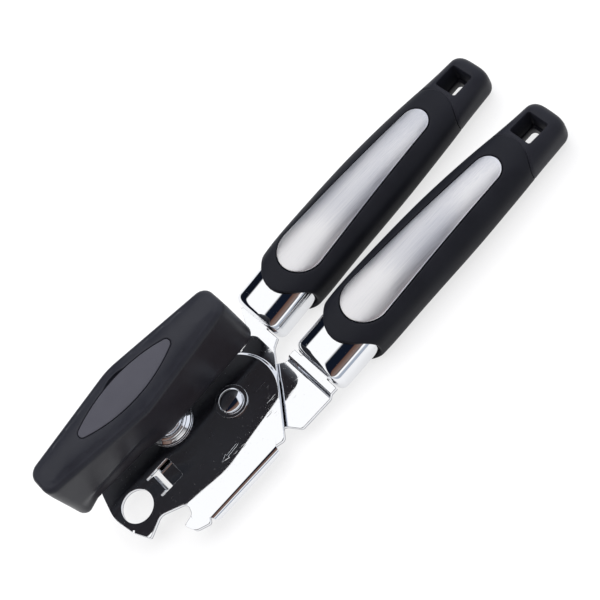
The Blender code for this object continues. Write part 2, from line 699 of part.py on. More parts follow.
def make_cutter(bench):
    low, high = CUTTER_Z
    washer = [(UPSET_RADIUS - 0.1, high + GAP), (UPSET_RADIUS - 0.1, LOWER_BOTTOM - GAP)]
    bench.add("cutter_washer", "lower", "tool_steel", turned(CUTTER, washer, WHEEL_BORE, SMALL_SIDES))
    disc = [(CUTTER_RADIUS - 2.2, low), (CUTTER_RADIUS, high - 0.3), (CUTTER_RADIUS, high - 0.15),
            (CUTTER_RADIUS - 0.3, high)]
    bench.add("cutter_wheel", "cutter", "tool_steel", turned(CUTTER, disc, WHEEL_BORE, DISC_SIDES))
    seat, head = low - GAP, LOWER_TOP + GAP
    stud = peened(PEEN_RADIUS + 0.3, seat, PEEN_HEIGHT)
    stud += [(STUD_RADIUS, seat), (STUD_RADIUS, head), (STUD_HEAD_RADIUS, head),
             (STUD_HEAD_RADIUS - 0.2, head + STUD_HEAD_HEIGHT)]
    bench.add("cutter_stud", "lower", "tool_steel", turned(CUTTER, stud, 0.0, SMALL_SIDES))


# ---- knob --------------------------------------------------------------------------------
PAD_HALF_LENGTH, PAD_HALF_WIDTH, PAD_END_RADIUS = 20.6, 5.6, 1.8
PAD_POCKET = 1.6
# Height, then what is taken off the half length, then half widths at the ends and the middle.
KNOB_SECTIONS = [(KNOB_BASE, 1.2, 4.0, 5.6), (KNOB_BASE + 1.2, 0.0, 5.2, 6.8),
                 (KNOB_EDGE - 2.2, 0.3, 5.9, 11.4), (KNOB_EDGE - 0.6, 0.8, 5.6, 11.0),
                 (KNOB_EDGE, 2.1, 4.8, 10.0), (KNOB_TOP, 9.0, 3.0, 5.5)]


def knob_ring(z, shorter, end_half, middle_half):
    """Six-sided plan of the knob at one height: blunt round ends, widest at the middle."""
    half_length = KNOB_HALF_LENGTH - shorter
    corners = [(half_length, -end_half, 4), (half_length, end_half, 4), (0, middle_half, 12),
               (-half_length, end_half, 4), (-half_length, -end_half, 4), (0, -middle_half, 12)]
    return [(x + DRIVE[0], y + DRIVE[1], z) for x, y in rounded(corners, 4)]


def leaf(grow=0.0):
    """The pad's plan: two long arcs joined by small round ends."""
    centre = PAD_HALF_LENGTH - PAD_END_RADIUS
    slack = PAD_HALF_WIDTH - PAD_END_RADIUS
    radius = (centre ** 2 / slack + PAD_END_RADIUS + PAD_HALF_WIDTH) / 2
    away = radius - PAD_HALF_WIDTH
    lean = math.degrees(math.atan2(away, centre))
    x, y = DRIVE
    outline = arc((x + centre, y), PAD_END_RADIUS + grow, -lean, lean, 4)
    outline += arc((x, y - away), radius + grow, lean, 180 - lean, 12)[1:-1]
    outline += arc((x - centre, y), PAD_END_RADIUS + grow, 180 - lean, 180 + lean, 4)
    return outline + arc((x, y + away), radius + grow, 180 + lean, 360 - lean, 12)[1:-1]


def make_knob(bench):
    rings = [knob_ring(*section) for section in KNOB_SECTIONS]
    body = bench.add("knob_body", "drive", "hard_black", ring_loft(rings))
    pocket_z = KNOB_TOP - PAD_POCKET
    bench.cut(body, "drive", prism(leaf(GAP), pocket_z, KNOB_TOP + 2))
    stem_hole = circle(DRIVE, STEM_RADIUS + GAP)
    bench.cut(body, "drive", prism(stem_hole, KNOB_BASE - 2, KNOB_TOP - STEM_REACH + GAP))
    bench.add("knob_inlay", "drive", "knob_grey", prism(leaf(), pocket_z + GAP, KNOB_TOP))


def main():
    clear_scene()
    bench = Bench()
    make_upper_plate(bench)
    make_lower_plate(bench)
    make_pivot(bench)
    make_drive(bench)
    make_knob(bench)
    make_cutter(bench)
    make_handle(bench, "upper", UPPER_HANDLE)
    make_handle(bench, "lower", LOWER_HANDLE)


main()
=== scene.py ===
"""Looks of the can opener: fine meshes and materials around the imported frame.

Shapes are made in the opener's drawing frame, in millimetres: +X from the head to the handles,
+Y to the upper arm's handle, +Z up to the knob, z = 0 on top of the upper plate and x = 0 on the
knob's axis. The frame's joints say where that drawing frame is.
"""
import json
import math

import bmesh
import bpy
from mathutils import Matrix, Vector
from mathutils.geometry import delaunay_2d_cdt


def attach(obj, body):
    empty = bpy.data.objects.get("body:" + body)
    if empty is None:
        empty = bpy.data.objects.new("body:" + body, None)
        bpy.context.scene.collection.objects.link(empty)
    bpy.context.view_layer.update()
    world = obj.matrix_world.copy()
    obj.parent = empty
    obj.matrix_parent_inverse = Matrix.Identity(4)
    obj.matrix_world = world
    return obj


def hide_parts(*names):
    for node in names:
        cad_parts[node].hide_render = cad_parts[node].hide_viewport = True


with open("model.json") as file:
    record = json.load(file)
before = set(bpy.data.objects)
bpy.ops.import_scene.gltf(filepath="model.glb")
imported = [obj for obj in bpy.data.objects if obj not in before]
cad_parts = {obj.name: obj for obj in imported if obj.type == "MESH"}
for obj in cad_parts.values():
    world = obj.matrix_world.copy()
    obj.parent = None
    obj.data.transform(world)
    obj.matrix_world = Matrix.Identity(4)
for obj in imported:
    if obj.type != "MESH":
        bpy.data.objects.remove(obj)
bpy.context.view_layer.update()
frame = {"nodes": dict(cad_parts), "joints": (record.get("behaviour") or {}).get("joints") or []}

MM = 0.001
JOINT_AT = {joint["name"]: Vector(joint["pos_m"]) / MM for joint in frame["joints"]}
ORIGIN = JOINT_AT["knob_spin"] + Vector((0, 1.9, 0))      # the drawing frame's own origin
DRIVE = (JOINT_AT["knob_spin"] - ORIGIN)[:2]
PIVOT = (JOINT_AT["arm_hinge"] - ORIGIN)[:2]
CUTTER = (JOINT_AT["cutter_spin"] - ORIGIN)[:2]

# ---- driving dimensions ----
GAP = 0.3
SHEET = 1.5
NECK_TOP = -0.75
LOWER_TOP = -2.6
LOWER_BOTTOM = LOWER_TOP - SHEET
FERRULE_X, TIP_X = 45.0, 158.8
HANDLE_Z, HANDLE_ARCH = -2.0, 1.0
REST_Z = -ORIGIN.z
UPPER_HANDLE = (0.0, 1.7, math.radians(1.75))
LOWER_HANDLE = (1.2, -28.3, math.radians(-0.5))
OPEN_ANGLE = math.radians(-frame["joints"][0]["range_deg"][0])


# ---- plane outlines ----
def arc(centre, radius, start, end, steps):
    points = []
    for step in range(steps + 1):
        angle = math.radians(start + (end - start) * step / steps)
        points.append((centre[0] + radius * math.cos(angle), centre[1] + radius * math.sin(angle)))
    return points


def circle(centre, radius, sides=64):
    return arc(centre, radius, 0, 360 * (sides - 1) / sides, sides - 1)


def rounded(corners, steps=10):
    """A closed outline from (x, y, radius) corners, each corner turned into an arc."""
    outline = []
    for index, (x, y, radius) in enumerate(corners):
        corner = Vector((x, y))
        before = Vector(corners[index - 1][:2]) - corner
        after = Vector(corners[(index + 1) % len(corners)][:2]) - corner
        half = before.angle(after) / 2
        reach = min(radius / math.tan(half), 0.49 * before.length, 0.49 * after.length)
        if reach < 0.01:
            outline.append((x, y))
            continue
        middle = (before.normalized() + after.normalized()).normalized()
        centre = corner + middle * reach / math.cos(half)
        start = corner + before.normalized() * reach - centre
        end = corner + after.normalized() * reach - centre
        turn = start.angle_signed(end)
        for step in range(steps + 1):
            point = centre + Matrix.Rotation(-turn * step / steps, 2) @ start
            outline.append((point.x, point.y))
    return outline


def inside(point, outline):
    found = False
    for (ax, ay), (bx, by) in zip(outline, outline[1:] + outline[:1]):
        if (ay > point[1]) != (by > point[1]) and point[0] < ax + (point[1] - ay) * (bx - ax) / (by - ay):
            found = not found
    return found


def area(outline):
    return sum(ax * by - bx * ay for (ax, ay), (bx, by) in zip(outline, outline[1:] + outline[:1])) / 2


def outset(outline, distance):
    """The outline moved outwards by a distance, or inwards by a negative one."""
    turn = 1 if area(outline) > 0 else -1
    moved = []
    for index, point in enumerate(outline):
        before = (Vector(point) - Vector(outline[index - 1])).normalized()
        after = (Vector(outline[(index + 1) % len(outline)]) - Vector(point)).normalized()
        normal = Vector((before.y + after.y, -before.x - after.x)) * turn
        spread = max(normal.length_squared / 2, 0.4)
        moved.append(tuple(Vector(point) + normal * distance / spread))
    return moved


def divided(outline, parts_for):
    """The outline with its sides cut up: parts_for(length) says into how many parts."""
    dense = []
    for (ax, ay), (bx, by) in zip(outline, outline[1:] + outline[:1]):
        parts = parts_for(math.hypot(bx - ax, by - ay))
        dense += [(ax + (bx - ax) * k / parts, ay + (by - ay) * k / parts) for k in range(parts)]
    return dense


def inner_net(outline, across, along, margin):
    """Grid points inside an outline, all of them a margin away from it."""
    points = [(x, y) for x in across for y in along]
    return [point for point in points if inside(point, outline) and away_from(point, outline) > margin]


def away_from(point, outline):
    """Distance from a point to an outline's nearest side."""
    best = 1e9
    here = Vector(point)
    for a, b in zip(outline, outline[1:] + outline[:1]):
        start, side = Vector(a), Vector(b) - Vector(a)
        t = min(max((here - start).dot(side) / max(side.length_squared, 1e-12), 0), 1)
        best = min(best, (here - start - side * t).length)
    return best


def smooth_profile(knots, x):
    """A smooth curve through (x, value) knots, in order of x and level beyond both ends."""
    if x <= knots[0][0]:
        return knots[0][1]
    if x >= knots[-1][0]:
        return knots[-1][1]
    index = max(k for k in range(len(knots) - 1) if knots[k][0] <= x)
    (x0, y0), (x1, y1) = knots[index], knots[index + 1]

    def slope(k):
        low, high = knots[max(k - 1, 0)], knots[min(k + 1, len(knots) - 1)]
        return (high[1] - low[1]) / (high[0] - low[0])

    t, span = (x - x0) / (x1 - x0), x1 - x0
    rise = y0 + (y1 - y0) * t * t * (3 - 2 * t)
    return rise + span * t * (1 - t) * (slope(index) * (1 - t) - slope(index + 1) * t)


def rows(low, high, count):
    return [low + (high - low) * k / (count - 1) for k in range(count)]


def ease(t):
    t = min(max(t, 0.0), 1.0)
    return t * t * (3 - 2 * t)


# ---- pieces ----
def finish_piece(name, solid, body, node, material, place=Matrix.Identity(4), edge_material=None):
    """Turns a bmesh in millimetres into a piece that rides on a body and stands for a CAD node."""
    bmesh.ops.remove_doubles(solid, verts=solid.verts, dist=1e-4)
    bmesh.ops.recalc_face_normals(solid, faces=solid.faces)
    solid.transform(Matrix.Scale(MM, 4) @ place.to_3x3().to_4x4())
    mesh = bpy.data.meshes.new(name)
    solid.to_mesh(mesh)
    solid.free()
    mesh.polygons.foreach_set("use_smooth", [True] * len(mesh.polygons))
    mesh.materials.append(material)
    if edge_material is not None:
        mesh.materials.append(edge_material)
    piece = bpy.data.objects.new(name, mesh)
    bpy.context.scene.collection.objects.link(piece)
    piece.matrix_world = Matrix.Translation((place.translation + ORIGIN) * MM)
    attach(piece, body)
    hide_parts(node)
    return piece


def even_normals(piece, sharp_angle=50):
    """Big flat faces keep their own normals, so that mirror surfaces don't bulge at their rims."""
    weighted = piece.modifiers.new("even_normals", "WEIGHTED_NORMAL")
    weighted.mode = "FACE_AREA"
    weighted.weight = 100
    weighted.keep_sharp = True
    limit = math.radians(sharp_angle)
    mesh = piece.data
    solid = bmesh.new()
    solid.from_mesh(mesh)
    for edge in solid.edges:
        edge.smooth = len(edge.link_faces) == 2 and edge.calc_face_angle() < limit
    solid.to_mesh(mesh)
    solid.free()


def add_ring(solid, points):
    return [solid.verts.new(point) for point in points]


def bridge(solid, loops, closed=True):
    """Joins each loop of vertices to the next one with quads."""
    count = len(loops[0])
    for first, second in zip(loops, loops[1:]):
        for k in range(count if closed else count - 1):
            after = (k + 1) % count
            solid.faces.new((first[k], first[after], second[after], second[k]))


SHADED_TORN_SHARE = 0.62              # where a sheared wall turns from smooth to torn, going down; the torn part is also painted darker as shade


def rim_profile(thickness, edge, steps=4):
    """(push, depth) pairs down a sheet's wall, with both edges rounded."""
    curve = []
    for step in range(steps + 1):
        angle = math.pi / 2 * step / steps
        curve.append((edge * math.sin(angle), edge * (1 - math.cos(angle))))
    middle = [(edge, thickness * SHADED_TORN_SHARE)]
    return curve + middle + [(push, thickness - depth) for push, depth in reversed(curve)]


def stamped(outline, holes, place, thickness=SHEET, edge=0.22, creases=(), inner_points=(), shaded_torn=0):
    """A formed sheet: place(x, y, depth) puts each point of the flat pattern on the piece.

    The lower, torn part of its sheared walls gets the material slot that the last argument gives: rough, and
    painted darker as shade.
    """
    loops = [outset(outline, -edge)] + [outset(hole, edge) for hole in holes]
    points, edges = [], []
    for loop in loops:
        first = len(points)
        points += loop
        edges += [(first + k, first + (k + 1) % len(loop)) for k in range(len(loop))]
    for line in creases:
        first = len(points)
        points += line
        edges += [(first + k, first + k + 1) for k in range(len(line) - 1)]
    points += inner_points
    plane, _, triangles = delaunay_2d_cdt([Vector(p) for p in points], edges, [], 1, 1e-4)[:3]
    solid = bmesh.new()
    used, kept = set(), []
    for triangle in triangles:
        middle = sum((plane[k] for k in triangle), Vector((0, 0))) / 3
        if inside(middle, loops[0]) and not any(inside(middle, hole) for hole in loops[1:]):
            kept.append(triangle)
            used.update(zip(triangle, (*triangle[1:], triangle[0])))
    border = {a: b for a, b in used if (b, a) not in used}
    before = {b: a for a, b in border.items()}
    wanted = {k for triangle in kept for k in triangle}
    top = {k: solid.verts.new(place(plane[k].x, plane[k].y, 0)) for k in wanted}
    bottom = {k: solid.verts.new(place(plane[k].x, plane[k].y, thickness)) for k in wanted}
    for triangle in kept:
        solid.faces.new([top[k] for k in triangle])
        solid.faces.new([bottom[k] for k in reversed(triangle)])
    rings = [top]
    profile = rim_profile(thickness, edge)
    for push, depth in profile[1:-1]:
        ring = {}
        for k in border:
            back = (plane[k] - plane[before[k]]).normalized()
            ahead = (plane[border[k]] - plane[k]).normalized()
            out = Vector((back.y + ahead.y, -back.x - ahead.x))
            out /= max(out.length_squared / 2, 0.4)
            ring[k] = solid.verts.new(place(plane[k].x + out.x * push, plane[k].y + out.y * push, depth))
        rings.append(ring)
    rings.append(bottom)
    for a, b in border.items():
        for (upper, lower), (_, depth) in zip(zip(rings, rings[1:]), profile):
            wall = solid.faces.new((upper[b], upper[a], lower[a], lower[b]))
            # The torn lower wall takes the darker material: painted shade along the foot of the sheet.
            wall.material_index = shaded_torn if depth >= thickness * SHADED_TORN_SHARE else 0
    return solid


def lathe(corners, sides=72):
    """A turned piece about its own axis, from the (radius, z, rounding) corners of its section.

    A section that starts on the axis is a solid piece, and any other one is a ring.
    """
    bored = corners[0][0] > 0
    section = [point for point in rounded(corners, 5) if bored or point[0] > 1e-6]
    solid = bmesh.new()
    rings = [add_ring(solid, [(x, y, z) for x, y in circle((0, 0), radius, sides)]) for radius, z in section]
    bridge(solid, rings + rings[:bored])
    if not bored:
        solid.faces.new(reversed(rings[0]))
        solid.faces.new(rings[-1])
    return solid


# ---- materials ----
def add_node(tree, kind, inputs=None, **settings):
    """A shader node: its inputs are values, or the sockets that feed them."""
    made = tree.nodes.new(kind)
    for key, value in settings.items():
        setattr(made, key, value)
    for key, value in (inputs or {}).items():
        if isinstance(value, bpy.types.NodeSocket):
            tree.links.new(value, made.inputs[key])
        else:
            made.inputs[key].default_value = value
    return made


def set_ramp(ramp, stops):
    elements = ramp.color_ramp.elements
    elements.remove(elements[-1])
    for index, (position, colour) in enumerate(stops):
        element = elements.new(position) if index else elements[0]
        element.position = position
        element.color = (*colour, 1)


class Paint:
    """A Principled material that is built up node by node, in the piece's own coordinates."""

    def __init__(self, name, colour, roughness, metallic=0.0, **sockets):
        self.material = bpy.data.materials.new(name)
        self.material.use_nodes = True
        self.tree = self.material.node_tree
        self.shader = self.tree.nodes["Principled BSDF"]
        self.shader.inputs["Base Color"].default_value = (*colour, 1)
        self.shader.inputs["Roughness"].default_value = roughness
        self.shader.inputs["Metallic"].default_value = metallic
        for socket, value in sockets.items():
            self.shader.inputs[socket.replace("_", " ")].default_value = value
        self.normal = None

    def node(self, kind, inputs=None, **settings):
        return add_node(self.tree, kind, inputs, **settings)

    def coordinates(self, stretch=(1, 1, 1), turn=0.0):
        here = self.node("ShaderNodeTexCoord").outputs["Object"]
        inputs = {"Vector": here, "Rotation": (0, 0, math.radians(turn)), "Scale": stretch}
        return self.node("ShaderNodeMapping", inputs).outputs["Vector"]

    def noise(self, scale, detail=2.0, stretch=(1, 1, 1), turn=0.0):
        inputs = {"Vector": self.coordinates(stretch, turn), "Scale": scale, "Detail": detail}
        return self.node("ShaderNodeTexNoise", inputs).outputs["Fac"]

    def spread(self, value, low, high, start=0.3, end=0.7):
        inputs = {"Value": value, "From Min": start, "From Max": end, "To Min": low, "To Max": high}
        return self.node("ShaderNodeMapRange", inputs).outputs["Result"]

    def math(self, operation, first, second):
        return self.node("ShaderNodeMath", {0: first, 1: second}, operation=operation).outputs[0]

    def bump(self, height, distance, strength=1.0):
        inputs = {"Height": height, "Distance": distance, "Strength": strength}
        if self.normal is not None:
            inputs["Normal"] = self.normal
        self.normal = self.node("ShaderNodeBump", inputs).outputs["Normal"]
        self.tree.links.new(self.normal, self.shader.inputs["Normal"])

    def roughness(self, value):
        self.tree.links.new(value, self.shader.inputs["Roughness"])

    def colour(self, value, dark, light):
        ramp = self.node("ShaderNodeValToRGB", {"Fac": value})
        set_ramp(ramp, [(0.3, dark), (0.7, light)])
        self.tree.links.new(ramp.outputs["Color"], self.shader.inputs["Base Color"])


def chrome_material(name, wave):
    """Mirror plating: faint waviness of the sheet under it, hairline scratches, specks and smears."""
    paint = Paint(name, (0.78, 0.79, 0.81), 0.04, 1.0)
    paint.bump(paint.noise(70, 1.5), wave)
    hairs = None
    for turn in (18, 74, 131):
        lines = paint.noise(1500, 1.0, (0.09, 1.0, 1.0), turn)
        fine = paint.spread(lines, 0.0, 1.0, 0.70, 0.76)
        hairs = fine if hairs is None else paint.math("MAXIMUM", hairs, fine)
    patches = paint.spread(paint.noise(45, 2.0), 0.0, 1.0, 0.47, 0.62)
    specks = paint.spread(paint.noise(3200, 0.0), 0.0, 1.0, 0.83, 0.87)
    marks = paint.math("MAXIMUM", paint.math("MULTIPLY", hairs, patches), specks)
    paint.bump(marks, 0.000005)
    smear = paint.spread(paint.noise(120, 3.0), 0.02, 0.05)
    paint.roughness(paint.math("ADD", smear, paint.math("MULTIPLY", marks, 0.3)))
    return paint.material


def shaded_torn_edge_material():
    """The torn lower part of a sheared wall: plated over and rough, its greyer colour painted shade along the
    plate's foot.
    """
    # The grey colour is painted shade along the plate's foot; the roughness is the torn finish.
    paint = Paint("shaded_torn_sheared_edge", (0.30, 0.31, 0.335), 0.42, 1.0)
    grain = paint.noise(1800, 3.0, (1, 1, 0.35))
    paint.colour(grain, (0.24, 0.25, 0.275), (0.36, 0.37, 0.395))
    paint.roughness(paint.spread(grain, 0.36, 0.5))
    paint.bump(grain, 0.00002)
    return paint.material


def brushed_material():
    """Satin steel with fine lines along the handle, and broad cloudy bands that are a painted reflection of
    dark surroundings.
    """
    paint = Paint("brushed_steel_satin", (0.5, 0.5, 0.53), 0.3, 1.0)
    fine = paint.noise(9000, 2.0, (0.01, 1, 1))
    broad = paint.noise(2200, 2.0, (0.012, 1, 1))
    lines = paint.math("ADD", paint.math("MULTIPLY", fine, 0.5), paint.math("MULTIPLY", broad, 0.2))
    # The broad clouds are painted reflection: they darken and lighten the colour as mirrored surroundings
    # would.
    clouds = paint.spread(paint.noise(30, 1.0, (0.8, 1.3, 1)), -0.05, 0.35, 0.42, 0.58)
    paint.colour(paint.math("ADD", lines, clouds), (0.68, 0.69, 0.745), (1.0, 0.99, 1.0))
    paint.roughness(paint.spread(lines, 0.38, 0.46, 0.2, 0.5))
    paint.bump(lines, 0.000003)
    return paint.material


def turned_steel_material():
    """Hardened steel with the fine rings that turning leaves, about the piece's own axis."""
    paint = Paint("turned_tool_steel", (0.56, 0.565, 0.58), 0.28, 1.0)
    here = paint.node("ShaderNodeTexCoord").outputs["Object"]
    flat = paint.node("ShaderNodeVectorMath", {0: here, 1: (1, 1, 0)}, operation="MULTIPLY")
    radius = paint.node("ShaderNodeVectorMath", {0: flat.outputs[0]}, operation="LENGTH").outputs["Value"]
    rings = paint.node("ShaderNodeTexNoise", {"W": radius, "Scale": 9000.0, "Detail": 2.0},
                       noise_dimensions="1D").outputs["Fac"]
    paint.bump(rings, 0.000004)
    paint.colour(rings, (0.46, 0.465, 0.48), (0.63, 0.635, 0.65))
    paint.roughness(paint.spread(paint.noise(300, 3.0), 0.2, 0.36))
    return paint.material


def moulded_material(name, dark, light, roughness, grain, grain_depth, **sockets):
    """Moulded plastic or rubber: spark-eroded grain, faint cloudiness and handling marks."""
    paint = Paint(name, light, roughness, 0.0, **sockets)
    clouds = paint.noise(90, 3.0)
    paint.colour(clouds, dark, light)
    paint.roughness(paint.spread(clouds, roughness - 0.05, roughness + 0.05))
    paint.bump(paint.noise(grain, 2.0), grain_depth)
    paint.bump(paint.noise(grain * 0.23, 1.0), grain_depth * 0.8)
    return paint.material


def make_materials():
    return {
        "sheet_chrome": chrome_material("mirror_chrome_sheet", 0.00002),
        "part_chrome": chrome_material("mirror_chrome_parts", 0.000004),
        # rough torn walls, painted darker as shade
        "shaded_torn_edge": shaded_torn_edge_material(),
        "brushed": brushed_material(),
        "turned": turned_steel_material(),
        "soft": moulded_material("soft_touch_black", (0.0060, 0.0064, 0.0092), (0.0085, 0.0090, 0.0125), 0.5,
                                 5200, 0.000008, Specular_IOR_Level=0.13),
        "hard": moulded_material("moulded_black", (0.0108, 0.0114, 0.0162), (0.0145, 0.0152, 0.0205), 0.38,
                                 3600, 0.000012, Specular_IOR_Level=0.24),
        "tip": moulded_material("tip_moulded_black", (0.0085, 0.0090, 0.0130), (0.0115, 0.0120, 0.0168), 0.44,
                                3600, 0.000012, Specular_IOR_Level=0.17),
        "pad": moulded_material("pad_dark_grey", (0.044, 0.044, 0.055), (0.052, 0.052, 0.064), 0.6,
                                4200, 0.000012, Specular_IOR_Level=0.15),
    }


# ---- handles ----
# Handle coordinates: x as in the drawing frame, y from the handle's own middle line.
OUTER_HALF_WIDTH = [(50, 12.0), (58, 12.4), (66, 13.0), (76, 13.2), (90, 13.1), (110, 12.6),
                    (130, 11.1), (150, 8.8), (156, 8.2)]
OUTER_HALF_HEIGHT = [(50, 8.0), (65, 8.2), (100, 8.2), (130, 7.5), (150, 6.5), (158, 6.2)]
BORE_HALF_WIDTH = [(50, 11.3), (67, 11.3), (76, 11.4), (100, 11.1), (130, 9.3), (144, 7.4)]
BORE_HALF_HEIGHT = [(50, 7.1), (67, 7.1), (76, 6.9), (100, 6.9), (130, 6.2), (144, 5.4)]
SIDE_SWAY = [(50, -0.8), (80, 0.1), (120, 0.1), (150, -0.4)]
SECTION_POWER = [(68, 3.0), (86, 2.6), (140, 2.6), (156, 3.4)]   # 2 is an ellipse, more is boxier
FERRULE_HALF, FERRULE_END, FERRULE_WALL = (11.0, 6.8), 66.0, 1.0
FERRULE_ROUND, FERRULE_INNER_ROUND = 3.0, 1.3
GRIP_FRONT, GRIP_FRONT_BOW = 55.2, 8.3
GRIP_REAR, GRIP_REAR_BOW = 143.5, 5.0
INLAY_FRONT, INLAY_REAR = 63.5, 134.5
INLAY_RADII = (8.9, 5.2)
INLAY_STEP = 1.6               # between the points on the inlay's straight sides
INLAY_SHEET = (0.7, 0.25, 0.04)          # its thickness, its edge's radius, and how proud it stands
TANG_HALF_WIDTH, TANG_END = 6.5, 76.0
SLOT_X, SLOT_HALF_WIDTH, SLOT_LEDGE_X, SLOT_LEDGE_Z = (144.7, 153.9), 4.6, 152.8, -4.5
AROUND = 96                    # points around a handle


def handle_frame(handle):
    lengthwise, sideways, splay = handle
    place = Matrix.Translation((FERRULE_X + lengthwise, sideways, 0))
    return place @ Matrix.Rotation(splay, 4, "Z") @ Matrix.Translation((-FERRULE_X, 0, 0))


def handle_middle(x):
    return HANDLE_Z + HANDLE_ARCH * math.sin(math.pi * (x - FERRULE_X) / (TIP_X - FERRULE_X))


def side_sway(x):
    return smooth_profile(SIDE_SWAY, x)


def section_power(x):
    return smooth_profile(SECTION_POWER, x)


def outer_size(x):
    return smooth_profile(OUTER_HALF_WIDTH, x), smooth_profile(OUTER_HALF_HEIGHT, x)


def bore_size(x):
    return smooth_profile(BORE_HALF_WIDTH, x), smooth_profile(BORE_HALF_HEIGHT, x)


def shell_point(x, across, above, size):
    """A point of a handle's shell: across runs from -1 to 1 over its width."""
    half_width, half_height = size
    power = section_power(x)
    rise = half_height * max(1 - abs(across) ** power, 0.0) ** (1 / power)
    z = handle_middle(x) + (rise if above else -rise)
    return x, across * half_width + side_sway(x), max(z, REST_Z)


def handle_top(x, y):
    size = outer_size(x)
    across = min(max((y - side_sway(x)) / size[0], -1.0), 1.0)
    return shell_point(x, across, True, size)[2]


def ring_angles():
    """From the underside's middle all the way round to it again."""
    return [-math.pi / 2 + 2 * math.pi * k / AROUND for k in range(AROUND + 1)]


def across_at(angle, power):
    return math.copysign(abs(math.cos(angle)) ** (2 / power), math.cos(angle))


def angle_of(x, y, above, size):
    across = min(max((y - side_sway(x)) / size[0], -1.0), 1.0)
    angle = math.acos(math.copysign(abs(across) ** (section_power(x) / 2), across))
    return angle if above else -angle


def shell_ring(place, size):
    """One ring of a handle's shell, its first point repeated at its end."""
    ring = []
    power = section_power(place(0.7))
    for angle in ring_angles():
        across = across_at(angle, power)
        x = place(across)
        ring.append(shell_point(x, across, math.sin(angle) >= 0, size(x)))
    return ring


def less(size, width, height=None):
    """The size function, made smaller all round."""
    cut = width if height is None else height
    return lambda x: (size(x)[0] - width, size(x)[1] - cut)


def seam_front(across):
    return GRIP_FRONT + GRIP_FRONT_BOW * across ** 2


def seam_rear(across):
    return GRIP_REAR - GRIP_REAR_BOW * across ** 2


def inlay_outline(grow=0.0):
    """The teardrop of the inlay: a wide round front, a narrow round rear, straight sides."""
    front_radius, rear_radius = INLAY_RADII
    front = (INLAY_FRONT + front_radius, 0)
    rear = (INLAY_REAR - rear_radius, 0)
    lean = math.degrees(math.asin((front_radius - rear_radius) / (rear[0] - front[0])))
    outline = arc(front, front_radius + grow, 90 - lean, 270 + lean, 40)
    outline += arc(rear, rear_radius + grow, lean - 90, 90 - lean, 24)
    return divided(outline, lambda length: max(1, round(length / INLAY_STEP)))


class Skin:
    """A surface laid out flat, so that closed lines can be let into it before it is filled."""

    def __init__(self, fill=0):
        """Fill 0 covers the points' whole hull, and fill 1 only the inside of the lines."""
        self.flat, self.points, self.edges, self.fill = [], [], [], fill

    def add(self, flat, point):
        self.flat.append(Vector(flat))
        self.points.append(point)
        return len(self.flat) - 1

    def line(self, pairs):
        """Adds a closed line of (flat, point) pairs; returns its indices."""
        made = [self.add(flat, point) for flat, point in pairs]
        self.edges += list(zip(made, made[1:] + made[:1]))
        return made

    def faces(self, solid, holes=()):
        """Fills the skin with triangles, leaving the holes out; returns the vertex of each index."""
        found = delaunay_2d_cdt(self.flat, self.edges, [], self.fill, 1e-5)
        plane, triangles, origin = found[0], found[2], found[3]
        vertices = [solid.verts.new(self.points[sources[0]]) for sources in origin]
        outlines = [[tuple(self.flat[k]) for k in hole] for hole in holes]
        for triangle in triangles:
            middle = sum((plane[k] for k in triangle), Vector((0, 0))) / 3
            if not any(inside(middle, outline) for outline in outlines):
                solid.faces.new([vertices[k] for k in triangle])
        return {source: vertex for sources, vertex in zip(origin, vertices) for source in sources}


AROUND_SCALE = 10.0            # millimetres of flat skin for each radian round a handle


def let_in(skin, outline, above, depth, along=lambda x, across: x):
    """Lets a closed line, given in plan, into a handle's skin, sunk by a depth."""
    pairs = []
    for x, y in outline:
        size = outer_size(x)
        across = (y - side_sway(x)) / size[0]
        z = shell_point(x, across, above, size)[2]
        flat = (along(x, across), angle_of(x, y, above, size) * AROUND_SCALE)
        pairs.append((flat, (x, y, z - depth if above else z + depth)))
    return skin.line(pairs)


def lip(radius, steps=4):
    """(back, inset) of the rings that round a sleeve's end over, from its end face inwards."""
    turned = [math.pi / 2 * step / steps for step in range(steps)]
    return [(radius * (1 - math.cos(a)), radius * (1 - math.sin(a))) for a in turned]


GRIP_LIPS, GRIP_EDGES = (0.7, 0.35), (0.9, 0.5)      # rounding of the sleeve's ends, and its edge rows
GRIP_ROWS = 46
POCKET_RIM = [(1.25, 0.0), (0.85, 0.02), (0.6, 0.09), (0.42, 0.22), (0.3, 0.42), (0.24, 0.7), (0.2, 0.92)]


def grip_stations():
    """(mix, shift, inset) of the sleeve's rings, mix being 0 at the front seam and 1 at the rear."""
    first, last = GRIP_EDGES
    stations = [(0.0, back, inset) for back, inset in lip(GRIP_LIPS[0])]
    for step in range(GRIP_ROWS + 1):
        mix = step / GRIP_ROWS
        stations.append((mix, first * (1 - mix) - last * mix, 0))
    return stations + [(1.0, -back, inset) for back, inset in reversed(lip(GRIP_LIPS[1]))]


